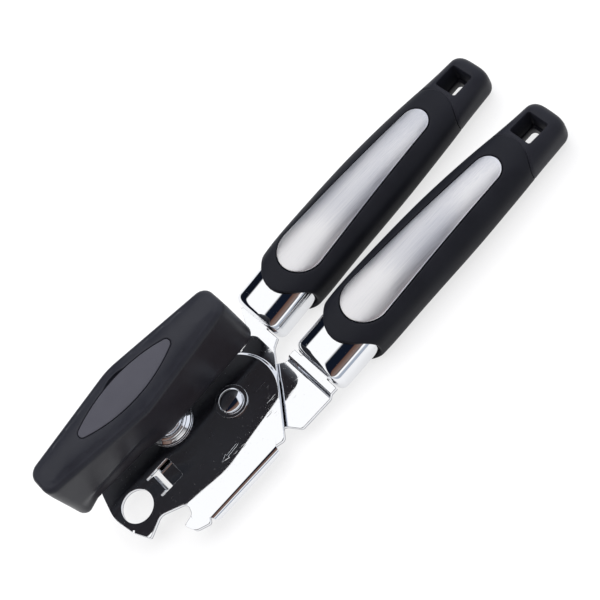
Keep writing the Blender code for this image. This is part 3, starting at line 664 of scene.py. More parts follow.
def make_grip(side, place, material):
    """The soft sleeve: rounded ends, and a pocket with a rolled rim that the inlay lies in."""
    skin = Skin()
    reach = GRIP_REAR - GRIP_FRONT
    outline = inlay_outline()
    grid = []
    for mix, shift, inset in grip_stations():
        ring = shell_ring(lambda s, m=mix, d=shift: seam_front(s) * (1 - m) + seam_rear(s) * m + d,
                          less(outer_size, inset))
        row = []
        for angle, point in zip(ring_angles(), ring):
            on_top = 0 < angle < math.pi
            sunk = on_top and inside(point[:2], outline)
            if on_top and away_from(point[:2], outline) < (0.5 if sunk else 1.5):
                continue
            if sunk:
                point = (point[0], point[1], point[2] - POCKET_RIM[-1][1])
            row.append(skin.add((GRIP_FRONT + reach * mix + shift, angle * AROUND_SCALE), point))
        grid.append(row)

    def along(x, across):
        front, rear = seam_front(across), seam_rear(across)
        return GRIP_FRONT + reach * (x - front) / (rear - front)

    for grow, depth in POCKET_RIM:
        let_in(skin, inlay_outline(grow), True, depth, along)
    solid = bmesh.new()
    vertex = skin.faces(solid)
    bore = []
    for mix in (0.0, 0.25, 0.5, 0.75, 1.0):
        ring = shell_ring(lambda s, m=mix: seam_front(s) * (1 - m) + seam_rear(s) * m, bore_size)
        bore.append(add_ring(solid, ring))
    front, rear = [vertex[k] for k in grid[0]], [vertex[k] for k in grid[-1]]
    bridge(solid, [rear, *bore[::-1], front], False)
    finish_piece(side + "_grip_sleeve", solid, side, side + "_grip", material, place)


TIP_ROUND, TIP_PULL = 3.8, (4.0, 2.6)    # length of the tip's rounding, and how far it draws in
TIP_ROWS = 14
TIP_SEAM = 0.3                           # rounding along the tip's seam with the grip
SLOT_LIP = [(0.55, 0.0), (0.3, 0.03), (0.12, 0.13), (0.0, 0.32)]


def slot_outline(front, rear, half_width, radius):
    return rounded([(front, -half_width, radius), (rear, -half_width, radius), (rear, half_width, radius),
                    (front, half_width, radius)], 6)


def make_tip(side, place, material):
    """The hard core: a plug inside the grip, then the rounded tip with its hanging mouth."""
    plug = [half - FERRULE_WALL - GAP for half in FERRULE_HALF]
    rings = [shell_ring(lambda s, x=x: x, lambda x: plug) for x in (FERRULE_X + 3.5, FERRULE_END + GAP)]
    start = FERRULE_END + 2 * GAP
    for t in rows(0, 1, 9):
        rings.append(shell_ring(lambda s, t=t: start * (1 - t) + (seam_rear(s) + GAP / 2) * t,
                                less(bore_size, GAP)))
    for back, inset in lip(TIP_SEAM, 3):
        rings.append(shell_ring(lambda s, b=back: seam_rear(s) + GAP / 2 + b, less(outer_size, inset)))
    solid = bmesh.new()
    loops = [add_ring(solid, ring) for ring in rings]
    skin = Skin()
    flat_end = TIP_X - TIP_ROUND
    wide = outset(slot_outline(*SLOT_X, SLOT_HALF_WIDTH, 0.9), -0.1)
    narrow = slot_outline(SLOT_X[0] + 0.5, SLOT_LEDGE_X, SLOT_HALF_WIDTH - 0.3, 1.6)
    grid = []
    for step in range(TIP_ROWS + 1):
        t = step / TIP_ROWS
        ring = shell_ring(lambda s, t=t: (seam_rear(s) + GAP / 2 + TIP_SEAM) * (1 - t) + flat_end * t,
                          outer_size)
        row = []
        for angle, point in zip(ring_angles(), ring):
            outline = wide if 0 < angle < math.pi else narrow
            near_slot = inside(point[:2], outline) or away_from(point[:2], outline) < 0.9
            if 0 < step < TIP_ROWS and abs(math.sin(angle)) > 0.2 and near_slot:
                continue
            row.append(skin.add((point[0], angle * AROUND_SCALE), point))
        grid.append(row)
    top_loops = [let_in(skin, outset(wide, grow), True, depth) for grow, depth in SLOT_LIP]
    low_loops = [let_in(skin, outset(narrow, grow), False, depth) for grow, depth in SLOT_LIP]
    vertex = skin.faces(solid, (top_loops[-1], low_loops[-1]))
    bridge(solid, loops + [[vertex[k] for k in grid[0]]], False)
    walls = [[vertex[k] for k in top_loops[-1]]]
    ledge = SLOT_LEDGE_Z
    for outline, grow, z in ((wide, 0, ledge + 0.35), (wide, -0.1, ledge + 0.1), (wide, -0.35, ledge),
                             (narrow, 0.12, ledge), (narrow, 0, ledge - 0.3)):
        walls.append(add_ring(solid, [(x, y, z) for x, y in outset(outline, grow)]))
    bridge(solid, walls + [[vertex[k] for k in low_loops[-1]]])
    end = [[vertex[k] for k in grid[-1]]]
    for angle in rows(0, math.pi / 2, 9)[1:]:
        cut = 1 - math.cos(angle)
        ring = shell_ring(lambda s, a=angle: flat_end + TIP_ROUND * math.sin(a),
                          less(outer_size, TIP_PULL[0] * cut, TIP_PULL[1] * cut))
        end.append(add_ring(solid, ring))
    bridge(solid, end, False)
    solid.faces.new(end[-1][:-1])
    solid.faces.new(reversed(loops[0][:-1]))
    finish_piece(side + "_hanging_tip", solid, side, side + "_core", material, place)


def make_inlay(side, place, material):
    """The brushed plate, its edge turned down into the grip's pocket."""
    outline = inlay_outline(-0.02)
    net = inner_net(outline, rows(63, 135, 49), rows(-9, 9, 13), 0.9)
    thick, edge, proud = INLAY_SHEET
    solid = stamped(outline, (), lambda x, y, depth: (x, y, handle_top(x, y) + proud - depth), thick, edge,
                    inner_points=net)
    finish_piece(side + "_brushed_inlay", solid, side, side + "_inlay", material, place)


def make_ferrule(side, place, material):
    """A drawn collar: closed front with a soft edge, a slot for the neck, open rear."""
    solid = bmesh.new()

    def loops(stations):
        made = []
        for x, inset in stations:
            half = [size - inset for size in FERRULE_HALF]
            made.append(add_ring(solid, shell_ring(lambda s, x=x: x, lambda q, h=half: h)[:-1]))
        return made

    outer = [(FERRULE_X + back, inset) for back, inset in lip(FERRULE_ROUND, 10)]
    outer += [(FERRULE_X + back, 0.0) for back in (FERRULE_ROUND, 8, 14)] + [(FERRULE_END, 0.0)]
    floor_x = FERRULE_X + FERRULE_WALL
    inner = [(floor_x + back, inset + FERRULE_WALL) for back, inset in lip(FERRULE_INNER_ROUND, 4)]
    inner += [(floor_x + FERRULE_INNER_ROUND, FERRULE_WALL), (FERRULE_END, FERRULE_WALL)]
    outside, bore = loops(outer), loops(inner)
    bridge(solid, outside + bore[::-1])
    solid.faces.new(reversed(outside[0]))
    solid.faces.new(bore[0])
    name, node = side + "_chrome_ferrule", side + "_ferrule"
    ferrule = finish_piece(name, solid, side, node, material, place)
    slot_half = TANG_HALF_WIDTH + GAP
    slot_z = (NECK_TOP - SHEET - GAP, NECK_TOP + GAP)
    cutter = bmesh.new()
    size = Matrix.Diagonal((6, 2 * slot_half, slot_z[1] - slot_z[0], 1))
    bmesh.ops.create_cube(cutter, size=1, matrix=Matrix.Translation((FERRULE_X, 0, sum(slot_z) / 2)) @ size)
    cutter.transform(place.to_3x3().to_4x4())
    cut_away(ferrule, cutter)
    even_normals(ferrule, 40)


def cut_away(piece, cutter):
    """Cuts a solid, given in the piece's own millimetres, out of the piece, and applies it."""
    cutter.transform(Matrix.Scale(MM, 4))
    mesh = bpy.data.meshes.new("cut_tool")
    cutter.to_mesh(mesh)
    cutter.free()
    tool = bpy.data.objects.new("cut_tool", mesh)
    bpy.context.scene.collection.objects.link(tool)
    tool.matrix_world = piece.matrix_world
    modifier = piece.modifiers.new("cut", "BOOLEAN")
    modifier.operation = "DIFFERENCE"
    modifier.solver = "EXACT"
    modifier.object = tool
    bpy.context.view_layer.update()
    shape = bpy.data.meshes.new_from_object(piece.evaluated_get(bpy.context.evaluated_depsgraph_get()))
    piece.modifiers.remove(modifier)
    piece.data = shape
    shape.polygons.foreach_set("use_smooth", [True] * len(shape.polygons))
    bpy.data.objects.remove(tool)


def make_handles(materials):
    for side, handle in (("upper", UPPER_HANDLE), ("lower", LOWER_HANDLE)):
        place = handle_frame(handle)
        make_ferrule(side, place, materials["part_chrome"])
        make_tip(side, place, materials["tip"])
        make_grip(side, place, materials["soft"])
        make_inlay(side, place, materials["brushed"])


# ---- stamped plates ----
HEAD_HOLE, HEAD_HOLE_RADIUS = (-26.6, -15.2), 5.8
WINDOW_X, WINDOW_Y, WINDOW_RELIEF, WINDOW_SLIT = (-17.5, -8.7), (-19.7, -10.8), 1.0, 0.8
LIP_Y, LIP_OUTER, LIP_DROP, LIP_ENDS = -37.9, 1.8, 1.4, (-12.0, 19.0)
TAB_OUTER, TAB_DROP = 2.1, 2.2
PAD_RADIUS, PAD_SLOPE, PAD_ARC, PAD_FADE = 16.5, 1.2, (-52, 62), 10
JOGGLE_X = (41.6, 43.4)
BUSH_RADIUS, STUD_RADIUS = 5.0, 2.5


def tang(handle, neck_sides):
    """Corners of a plate's tail: the neck's shoulders, then the tang inside the handle."""
    holder = handle_frame(handle)
    shoulder = FERRULE_X - GAP - 0.1
    low, high = neck_sides
    local = [(shoulder, low, 0.4), (shoulder, -TANG_HALF_WIDTH, 0.3), (TANG_END, -TANG_HALF_WIDTH, 1),
             (TANG_END, TANG_HALF_WIDTH, 1), (shoulder, TANG_HALF_WIDTH, 0.3), (shoulder, high, 0)]
    return [((holder @ Vector((x, y, 0))).x, (holder @ Vector((x, y, 0))).y, r) for x, y, r in local]


def folded(run, depth, outer):
    """(out, down) of a flange's point, run millimetres past its bend line, below the sheet's top."""
    angle = min(run / outer, math.pi / 2)
    straight = max(run - outer * math.pi / 2, 0.0)
    reach = outer - depth
    return reach * math.sin(angle), outer - reach * math.cos(angle) + straight


def flange_length(outer, drop):
    return outer * math.pi / 2 + drop


def upper_outline():
    run = flange_length(LIP_OUTER, LIP_DROP)
    head = [(41.7, -11.9, 3), (30.5, -27.6, 20), (22.2, -38.8, 1.8), (LIP_ENDS[1], LIP_Y, 0.2),
            (LIP_ENDS[1] - 1.2, LIP_Y - run, 1.6), (LIP_ENDS[0] + 1.2, LIP_Y - run, 1.6),
            (LIP_ENDS[0], LIP_Y, 0.2), (-13.2, -39.6, 1.0), (-18.2, -37.6, 2.5), (-19.9, -33.1, 0.7),
            (-15.6, -32.2, 1.5), (-14.2, -28.2, 2.5), (-23.2, -23.9, 3.5),
            (-30.6, -27.2, 0.8), (-33.6, -21.0, 4), (-35.2, -12.0, 14), (-32.2, -0.5, 8),
            (-22.0, 8.5, 14), (0.0, 12.0, 20), (22.0, 8.0, 12), (29.5, -2.6, 6), (38.2, -3.4, 7)]
    return rounded(tang(UPPER_HANDLE, (-11.9, 7.6))[::-1] + head)


def window_outline():
    """The window with the tab still flat in it: two relief slits free the tab's sides."""
    (x0, x1), (y0, y1) = WINDOW_X, WINDOW_Y
    left, end = x0 - WINDOW_RELIEF, x0 + flange_length(TAB_OUTER, TAB_DROP)
    low, high = y0 + WINDOW_SLIT, y1 - WINDOW_SLIT
    return rounded([(left, y0, 0.3), (x1, y0, 0.8), (x1, y1, 0.8), (left, y1, 0.3), (left, high, 0.3),
                    (end, high, 0.5), (end, low, 0.5), (left, low, 0.3)], 4)


def upper_place(x, y, depth):
    """Puts the flat pattern on the formed plate: the lip, the tab and the step round the pad."""
    if y < LIP_Y and LIP_ENDS[0] - 0.1 < x < LIP_ENDS[1]:
        out, down = folded(LIP_Y - y, depth, LIP_OUTER)
        return x, LIP_Y - out, -down
    on_tab = WINDOW_Y[0] + 0.3 < y < WINDOW_Y[1] - 0.3 and WINDOW_X[0] < x < WINDOW_X[1] - 1.5
    if on_tab:
        out, down = folded(x - WINDOW_X[0], depth, TAB_OUTER)
        return WINDOW_X[0] + out, y, -down
    angle = math.degrees(math.atan2(y - PIVOT[1], x - PIVOT[0]))
    fade = min(angle - PAD_ARC[0], PAD_ARC[1] - angle) / PAD_FADE
    step = ease((math.dist((x, y), PIVOT) - PAD_RADIUS) / PAD_SLOPE) * ease(fade)
    return x, y, NECK_TOP * step - depth


def make_upper_plate(materials):
    creases = [arc(PIVOT, radius, -64, 64, 60) for radius in rows(PAD_RADIUS, PAD_RADIUS + PAD_SLOPE, 7)]
    for run in rows(0, LIP_OUTER * math.pi / 2, 8):
        creases.append([(LIP_ENDS[0] - 0.02, LIP_Y - run), (LIP_ENDS[1] + 0.02, LIP_Y - run)])
    for run in rows(0, TAB_OUTER * math.pi / 2, 8):
        creases.append([(WINDOW_X[0] + run, WINDOW_Y[0] + 0.6), (WINDOW_X[0] + run, WINDOW_Y[1] - 0.6)])
    holes = [circle(DRIVE, BUSH_RADIUS + GAP), circle(PIVOT, STUD_RADIUS + GAP),
             circle(HEAD_HOLE, HEAD_HOLE_RADIUS), window_outline()]
    solid = stamped(upper_outline(), holes, upper_place, creases=creases, shaded_torn=1)
    add_arrow(solid)
    finish_plate("upper", solid, materials)


def finish_plate(arm, solid, materials):
    # The plates' torn lower walls get the darker material: painted shade along their foot.
    chrome, shaded_torn = materials["sheet_chrome"], materials["shaded_torn_edge"]
    node = arm + "_plate"
    even_normals(finish_piece(arm + "_arm_plate", solid, arm, node, chrome, edge_material=shaded_torn))


ARROW_TAIL, ARROW_HEAD = (10.6, -26.9), (3.1, -27.4)
ARROW_HALF_WIDTH, ARROW_BARB, ARROW_BARB_LENGTH = 0.35, 1.0, 2.6
RIDGE_HALF_WIDTH, RIDGE_HEIGHT, RIDGE_FOOT = 0.13, 0.07, -0.05


def add_arrow(solid):
    """The embossed arrow that shows which way the knob turns: a thin raised outline."""
    tail, head = Vector(ARROW_TAIL), Vector(ARROW_HEAD)
    length = (head - tail).length
    along = (head - tail) / length
    side = Vector((-along.y, along.x))
    neck, slim = length - ARROW_BARB_LENGTH, ARROW_HALF_WIDTH
    shape = [(0, -slim), (neck, -slim), (neck, -ARROW_BARB), (length, 0), (neck, ARROW_BARB), (neck, slim),
             (0, slim)]
    path = [tuple(tail + along * x + side * y) for x, y in shape]
    half, high = RIDGE_HALF_WIDTH, RIDGE_HEIGHT
    section = [(-half, RIDGE_FOOT), (-0.7 * half, 0.75 * high), (0, high), (0.7 * half, 0.75 * high),
               (half, RIDGE_FOOT)]
    loops = [add_ring(solid, [(x, y, z) for x, y in outset(path, offset)]) for offset, z in section]
    bridge(solid, loops + loops[:1])


def lower_outline():
    head = [(41.0, -17.8, 3), (36.0, -13.5, 4), (31.0, -4.0, 8), (10.0, 16.5, 10), (5.5, 22.0, 6),
            (-7.5, 21.5, 6), (-8.6, 6.0, 14), (-14.0, -6.0, 5), (-14.0, -20.6, 3), (8.0, -24.0, 14),
            (25.6, -34.6, 3), (28.6, -39.4, 1.5)]
    return rounded(tang(LOWER_HANDLE, (-11.2, 10.2)) + head)


def bush_slot():
    """Curved slot about the pivot that the bushing runs along; its ends stop the swing."""
    reach = math.dist(PIVOT, DRIVE)
    start = math.degrees(math.atan2(DRIVE[1] - PIVOT[1], DRIVE[0] - PIVOT[0]))
    end = start + math.degrees(OPEN_ANGLE)
    width = BUSH_RADIUS + GAP
    outline = arc(DRIVE, width, start - 180, start, 24)
    outline += arc(PIVOT, reach + width, start, end, 10)[1:-1]
    far = arc(PIVOT, reach, end, end, 1)[0]
    outline += arc(far, width, end, end + 180, 24)
    return outline + arc(PIVOT, reach - width, end, start, 10)[1:-1]


def lower_place(x, y, depth):
    step = ease((x - JOGGLE_X[0]) / (JOGGLE_X[1] - JOGGLE_X[0]))
    return x, y, LOWER_TOP + (NECK_TOP - LOWER_TOP) * step - depth


def make_lower_plate(materials):
    creases = [[(x, -17.0), (x, -40.5)] for x in rows(*JOGGLE_X, 9)]
    holes = [bush_slot(), circle(PIVOT, STUD_RADIUS + GAP), circle(CUTTER, STUD_RADIUS + GAP, 48)]
    solid = stamped(lower_outline(), holes, lower_place, creases=creases, shaded_torn=1)
    finish_plate("lower", solid, materials)


# ---- pivot, drive and cutter ----
FEED_RADIUS, FEED_THICK, FEED_TEETH, TOOTH_DEPTH, WHEEL_BORE = 6.1, 1.9, 22, 0.75, 2.8
CUTTER_THICK, CUTTER_BEVEL, CUTTER_OVERLAP = 1.2, 2.2, 0.6
FEED_Z = (LOWER_BOTTOM - 2 * GAP - FEED_THICK, LOWER_BOTTOM - 2 * GAP)
CUTTER_Z = (FEED_Z[0] - GAP - CUTTER_THICK, FEED_Z[0] - GAP)
CUTTER_RADIUS = math.dist(DRIVE, CUTTER) - FEED_RADIUS + CUTTER_OVERLAP
RIVET_FOOT, DOME_RADIUS, DOME_RISE = 0.8, 4.45, 1.75
FLANGE_RADIUS, FLANGE_RIM, FLANGE_THICK = 8.6, 0.42, 1.2
THRUST_RADIUS, THRUST_THICK = 7.2, 0.6
SHAFT_RADIUS, COLLAR_RADIUS, STEM_RADIUS, STEM_SINK = 3.4, 6.2, 3.0, 10
KNOB_BASE, KNOB_EDGE, KNOB_TOP = 5.0, 31.2, 32.6
KNOB_HALF_LENGTH = 41.0


def at(axis):
    return Matrix.Translation((*axis, 0))


def make_turned(name, node, body, slot, materials, axis, corners):
    material = materials["part_chrome" if slot == "chrome" else "turned"]
    even_normals(finish_piece(name, lathe(corners), body, node, material, at(axis)), 60)


def ring_section(bore, radius, low, high, edge):
    return [(bore, low, 0), (radius, low, edge), (radius, high, edge), (bore, high, 0)]


def upset_tail(end, radius, taper, thick, edges=(0.4, 0.3)):
    """Section of a pin's tail that is hammered over below a level."""
    return [(0, end - thick, 0), (radius - taper, end - thick, edges[0]), (radius, end - 0.5, edges[1]),
            (radius, end, 0.1), (STUD_RADIUS, end, 0)]


def make_pivot(materials):
    bore = STUD_RADIUS + GAP
    make_turned("pivot_ring", "pivot_washer", "upper", "chrome", materials, PIVOT,
                [(bore, 0.2, 0), (5.8, 0.2, 0), (5.8, 0.5, 0.12), (bore, 0.5, 0.1)])
    make_turned("pivot_shim", "pivot_spacer", "upper", "tool_steel", materials, PIVOT,
                ring_section(bore, 6.5, LOWER_TOP + GAP, -SHEET - GAP, 0.05))
    foot = RIVET_FOOT + 0.25
    dome = [(DOME_RADIUS * math.cos(a), foot + DOME_RISE * math.sin(a), 0) for a in rows(0, 1.5, 11)]
    corners = upset_tail(LOWER_BOTTOM - GAP, 4.3, 0.9, 1.0)
    corners += [(STUD_RADIUS, RIVET_FOOT, 0), (4.3, RIVET_FOOT, 0.1), *dome, (0, dome[-1][1], 0)]
    make_turned("pivot_rivet_dome", "pivot_rivet", "upper", "chrome", materials, PIVOT, corners)


def make_drive(materials):
    flange = (GAP, GAP + FLANGE_THICK)
    thrust = (flange[1] + GAP, flange[1] + GAP + THRUST_THICK)
    collar = (thrust[1] + GAP, KNOB_BASE - GAP)
    bore, tail, rim_top = SHAFT_RADIUS + GAP, LOWER_BOTTOM - GAP, flange[0] + FLANGE_RIM
    washer = THRUST_RADIUS
    make_turned("hub_bushing", "drive_bushing", "upper", "chrome", materials, DRIVE,
                [(bore, tail, 0.1), (BUSH_RADIUS, tail, 0.2), (BUSH_RADIUS, flange[0], 0),
                 (FLANGE_RADIUS, flange[0], 0.12), (FLANGE_RADIUS, rim_top, 0.2),
                 (FLANGE_RADIUS - 0.5, rim_top, 0.04), (washer, flange[1], 0.3), (bore, flange[1], 0.1)])
    make_turned("hub_thrust_washer", "thrust_washer", "drive", "chrome", materials, DRIVE,
                [(bore, thrust[0], 0), (washer, thrust[0], 0.05), (washer, thrust[0] + 0.1, 0.1),
                 (washer - 0.6, thrust[1], 0.2), (bore, thrust[1], 0)])
    neck, top = FEED_Z[1] + 0.1, KNOB_TOP - STEM_SINK
    make_turned("knob_spindle", "knob_shaft", "drive", "chrome", materials, DRIVE,
                [*upset_tail(FEED_Z[0] - GAP, 3.5, 0.7, 0.9, (0.3, 0.25)), (STUD_RADIUS, neck, 0),
                 (SHAFT_RADIUS, neck, 0.15), (SHAFT_RADIUS, collar[0], 0), (COLLAR_RADIUS, collar[0], 0.2),
                 (COLLAR_RADIUS, collar[1], 0.2), (STEM_RADIUS, collar[1], 0), (STEM_RADIUS, top, 0.2),
                 (0, top, 0)])
    rim = []
    pitch = 360 / FEED_TEETH
    for tooth in range(FEED_TEETH):
        start = pitch * tooth
        rim += arc((0, 0), FEED_RADIUS, start - 0.14 * pitch, start + 0.14 * pitch, 2)
        rim += arc((0, 0), FEED_RADIUS - TOOTH_DEPTH, start + 0.42 * pitch, start + 0.58 * pitch, 1)
    wheel = stamped(rim, [circle((0, 0), WHEEL_BORE, 48)], lambda x, y, depth: (x, y, FEED_Z[1] - depth),
                    FEED_THICK, 0.12)
    even_normals(finish_piece("serrated_feed_wheel", wheel, "drive", "feed_wheel", materials["turned"],
                              at(DRIVE)), 40)


def make_cutter(materials):
    low, high = CUTTER_Z
    head, radius = LOWER_TOP + GAP, CUTTER_RADIUS
    make_turned("cutting_disc", "cutter_wheel", "cutter", "tool_steel", materials, CUTTER,
                [(WHEEL_BORE, low, 0), (radius - CUTTER_BEVEL, low, 0.3), (radius - 0.05, high - 0.3, 0),
                 (radius, high - 0.2, 0), (radius - 0.3, high, 0.1), (WHEEL_BORE, high, 0)])
    make_turned("cutter_spacer", "cutter_washer", "lower", "tool_steel", materials, CUTTER,
                ring_section(WHEEL_BORE, 4.2, high + GAP, LOWER_BOTTOM - GAP, 0.2))
    make_turned("cutter_rivet", "cutter_stud", "lower", "tool_steel", materials, CUTTER,
                [*upset_tail(low - GAP, 3.8, 0.6, 0.9), (STUD_RADIUS, head, 0), (3.4, head, 0.1),
                 (3.2, head + 0.5, 0.4), (0, head + 0.5, 0)])


# ---- knob ----
KNOB_HEIGHTS = (5.0, 6.2, 12.0, 29.0, 31.2)
KNOB_ENDS = (4.6, 5.2, 5.35, 5.9, 5.9)         # half width at the blunt ends, at those heights
KNOB_MIDDLES = (6.2, 6.8, 7.9, 11.4, 11.5)     # half width across the middle
KNOB_CORNERS = (4.2, 26)                       # corner radii at the ends and at the middle
PAD_HALF_LENGTH, PAD_HALF_WIDTH, PAD_END_RADIUS = 20.6, 5.6, 1.8
PAD_POCKET = [(0.75, 0.0, 0.75), (0.5, 0.03, 0.85), (0.34, 0.12, 1.0), (0.24, 0.32, 1.0), (0.2, 1.3, 1.0)]
TOP_ROUND = 1.7
BASE_ROUND = 1.1
SCOOP_DEPTH = 1.7


def knob_plan(z, inset):
    """Six-sided plan of the knob at one height: blunt round ends, widest at the middle."""
    length = KNOB_HALF_LENGTH - 0.25 * ease((z - 24) / 8) - inset
    end = smooth_profile(list(zip(KNOB_HEIGHTS, KNOB_ENDS)), z) - inset
    middle = smooth_profile(list(zip(KNOB_HEIGHTS, KNOB_MIDDLES)), z) - inset
    blunt, wide = KNOB_CORNERS
    corners = [(length, -end, blunt), (length, end, blunt), (0, middle, wide), (-length, end, blunt),
               (-length, -end, blunt), (0, -middle, wide)]
    return divided(rounded(corners, 14), lambda side: 10 if side > 8 else 1)


def scoop(x, y, z):
    """How far the finger hollow on one half of each long side draws the wall in."""
    along = -x if y < 0 else x
    lengthways = ease((along - 3) / 9) * ease((39 - along) / 6)
    upright = ease((z - KNOB_BASE + 3) / 4) * ease((19.5 - 0.16 * along - z) / 5.5)
    return SCOOP_DEPTH * lengthways * upright


def crown(x, y):
    """Height of the knob's top: highest along its middle line and falling towards the edge."""
    half = 10.0 - 4.6 * abs(x) / KNOB_HALF_LENGTH
    across = min(abs(y) / half, 1.0)
    along = ease((abs(x) - 26) / 17)
    return KNOB_EDGE + (KNOB_TOP - KNOB_EDGE) * (1 - across ** 2.4) * (1 - along)


def oval(grow=0.0, notch=0.0):
    """The pad's plan: two long arcs joined by small round ends; a notch swells its +Y side."""
    centre = PAD_HALF_LENGTH - PAD_END_RADIUS
    slack = PAD_HALF_WIDTH - PAD_END_RADIUS
    radius = (centre ** 2 / slack + PAD_END_RADIUS + PAD_HALF_WIDTH) / 2
    lean = math.degrees(math.atan2(radius - PAD_HALF_WIDTH, centre))
    far, near = radius + grow, PAD_END_RADIUS + grow
    outline = arc((centre, 0), near, -lean, lean, 16)
    for x, y in arc((0, PAD_HALF_WIDTH - radius), far, lean, 180 - lean, 60)[1:-1]:
        swell = max(1 - ((x + 0.5) / 4.6) ** 2, 0.0)
        outline.append((x, y + notch * swell ** 0.7))
    outline += arc((-centre, 0), near, 180 - lean, 180 + lean, 16)
    return outline + arc((0, radius - PAD_HALF_WIDTH), far, 180 + lean, 360 - lean, 60)[1:-1]


def knob_top(edge_points):
    """The knob's crowned top, with a pocket for the pad let into it."""
    edge = [point[:2] for point in edge_points]
    skin = Skin(fill=1)
    skin.line([(point[:2], point) for point in edge_points])
    for grow, depth, notch in PAD_POCKET:
        skin.line([((x, y), (x, y, crown(x, y) - depth)) for x, y in oval(grow, notch)])
    pocket = oval(PAD_POCKET[-1][0], 1.0)
    for x, y in inner_net(edge, rows(-39, 39, 79), rows(-10, 10, 21), 0.5):
        sunk = inside((x, y), pocket)
        if away_from((x, y), pocket) > (0.4 if sunk else 0.9):
            skin.add((x, y), (x, y, crown(x, y) - (PAD_POCKET[-1][1] if sunk else 0.0)))
    return skin


def make_knob(materials):
    rings = [(KNOB_BASE + back, inset) for back, inset in lip(BASE_ROUND, 6)]
    rings += [(z, 0.0) for z in rows(KNOB_BASE + BASE_ROUND, KNOB_EDGE - TOP_ROUND, 22)]
    rings += [(KNOB_EDGE - back, inset) for back, inset in reversed(lip(TOP_ROUND, 7))]
    solid = bmesh.new()
    loops = []
    for z, inset in rings:
        plan = [(x, y - math.copysign(scoop(x, y, z), y), z) for x, y in knob_plan(z, inset)]
        loops.append(add_ring(solid, plan))
    bridge(solid, loops)
    solid.faces.new(reversed(loops[0]))
    knob_top([tuple(vertex.co) for vertex in loops[-1]]).faces(solid)
    finish_piece("turning_knob", solid, "drive", "knob_body", materials["hard"], at(DRIVE))
    net = inner_net(oval(), rows(-20, 20, 33), rows(-6, 6, 11), 0.6)
    pad = stamped(oval(), (), lambda x, y, depth: (x, y, crown(x, y) - depth), 1.2, 0.2, inner_points=net)
    finish_piece("knob_oval_pad", pad, "drive", "knob_inlay", materials["pad"], at(DRIVE))


# ---- what stays from the frame ----
def dress_hidden_nodes(materials):
    """The pins inside the handles stay as the frame has them, with the turned steel on them."""
    for side in ("upper", "lower"):
        pin = frame["nodes"][side + "_tang_pin"]
        for slot in pin.material_slots:
            slot.material = materials["turned"]


# ---- studio ----
# The tent from the +Y horizon (0) over the zenith (0.5) to the -Y horizon (1).
TENT_BANDS = [(0.0, (0.50, 0.53, 0.58)), (0.015, (0.50, 0.53, 0.58)), (0.03, (0.006, 0.008, 0.014)),
              (0.225, (0.004, 0.006, 0.012)), (0.245, (1.0, 1.0, 1.0)), (0.385, (1.0, 1.0, 1.0)),
              (0.405, (0.006, 0.009, 0.018)), (0.555, (0.006, 0.009, 0.018)), (0.575, (0.12, 0.062, 0.045)),
              (0.72, (0.22, 0.16, 0.14)), (0.76, (0.07, 0.07, 0.08)), (0.785, (1.0, 1.0, 1.0)),
              (0.84, (1.0, 1.0, 1.0)), (0.865, (0.40, 0.44, 0.51)), (1.0, (0.34, 0.38, 0.45))]
TENT_STRENGTH = 1.25
END_CARD = (0.74, 0.77, 0.84)      # a pale card that closes the tent at the handles' end
END_CARD_EDGE = (0.36, 0.44)       # how far round towards +X it begins


def make_table():
    """A light table: matt white paper that is faintly lit from below."""
    mesh = bpy.data.meshes.new("light_table")
    mesh.from_pydata([(-3, -3, 0), (3, -3, 0), (3, 3, 0), (-3, 3, 0)], [], [(0, 1, 2, 3)])
    table = bpy.data.objects.new("light_table", mesh)
    bpy.context.scene.collection.objects.link(table)
    paint = Paint("lit_paper", (0.24, 0.24, 0.243), 0.9, Specular_IOR_Level=0.1, Emission_Strength=0.72)
    paint.shader.inputs["Emission Color"].default_value = (1, 1, 1, 1)
    paint.colour(paint.noise(6, 2.0), (0.238, 0.238, 0.241), (0.242, 0.242, 0.245))
    mesh.materials.append(paint.material)


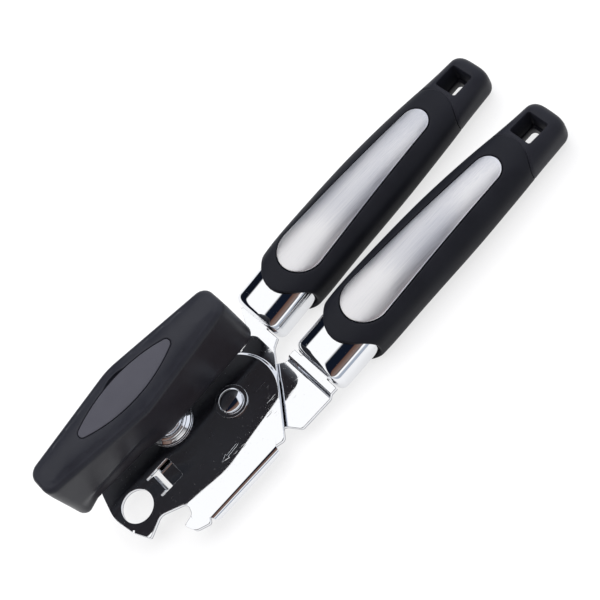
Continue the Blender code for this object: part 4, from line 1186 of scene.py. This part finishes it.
def make_tent():
    """The surroundings that the chrome mirrors: bands of white and dark cloth running along X."""
    world = bpy.data.worlds.new("light_tent")
    bpy.context.scene.world = world
    world.use_nodes = True
    tree = world.node_tree
    direction = add_node(tree, "ShaderNodeTexCoord").outputs["Generated"]
    parts = add_node(tree, "ShaderNodeSeparateXYZ", {0: direction}).outputs
    turn = add_node(tree, "ShaderNodeMath", {0: parts["Z"], 1: parts["Y"]}, operation="ARCTAN2").outputs[0]
    share = add_node(tree, "ShaderNodeMath", {0: turn, 1: math.pi}, operation="DIVIDE").outputs[0]
    ramp = add_node(tree, "ShaderNodeValToRGB", {"Fac": share})
    set_ramp(ramp, TENT_BANDS)
    low, high = END_CARD_EDGE
    card = add_node(tree, "ShaderNodeMapRange", {"Value": parts["X"], "From Min": low, "From Max": high})
    mix = add_node(tree, "ShaderNodeMix", {"Factor": card.outputs["Result"]}, data_type="RGBA")
    sockets = {socket.identifier: socket for socket in (*mix.inputs, *mix.outputs)}
    sockets["B_Color"].default_value = (*END_CARD, 1)
    tree.links.new(ramp.outputs["Color"], sockets["A_Color"])
    background = tree.nodes["Background"]
    background.inputs["Strength"].default_value = TENT_STRENGTH
    tree.links.new(sockets["Result_Color"], background.inputs["Color"])


def add_softbox(name, place, size, power):
    """A softbox aimed at the opener, itself kept out of the chrome's reflections."""
    light = bpy.data.lights.new(name, "AREA")
    light.shape = "RECTANGLE"
    light.size, light.size_y = size
    light.energy = power
    lamp = bpy.data.objects.new(name, light)
    bpy.context.scene.collection.objects.link(lamp)
    lamp.location = place
    lamp.rotation_euler = (-Vector(place)).to_track_quat("-Z", "Y").to_euler()
    lamp.visible_glossy = False


def make_camera():
    data = bpy.data.cameras.new("photo_camera")
    data.lens = 90
    data.sensor_width = 36
    data.clip_start = 0.01
    camera = bpy.data.objects.new("photo_camera", data)
    bpy.context.scene.collection.objects.link(camera)
    camera.location = (-0.02659, -0.2631, 0.43149)
    camera.rotation_euler = [math.radians(a) for a in (25.054, 21.104, -43.286)]
    bpy.context.scene.camera = camera


def main():
    materials = make_materials()
    make_upper_plate(materials)
    make_lower_plate(materials)
    make_pivot(materials)
    make_drive(materials)
    make_cutter(materials)
    make_knob(materials)
    make_handles(materials)
    dress_hidden_nodes(materials)
    make_table()
    make_tent()
    add_softbox("top_softbox", (0.0, 0.25, 0.8), (1.2, 1.2), 13)
    add_softbox("rear_softbox", (0.1, 1.0, 0.6), (0.9, 0.7), 4)
    make_camera()
    bpy.context.scene.view_settings.view_transform = "Standard"


main()
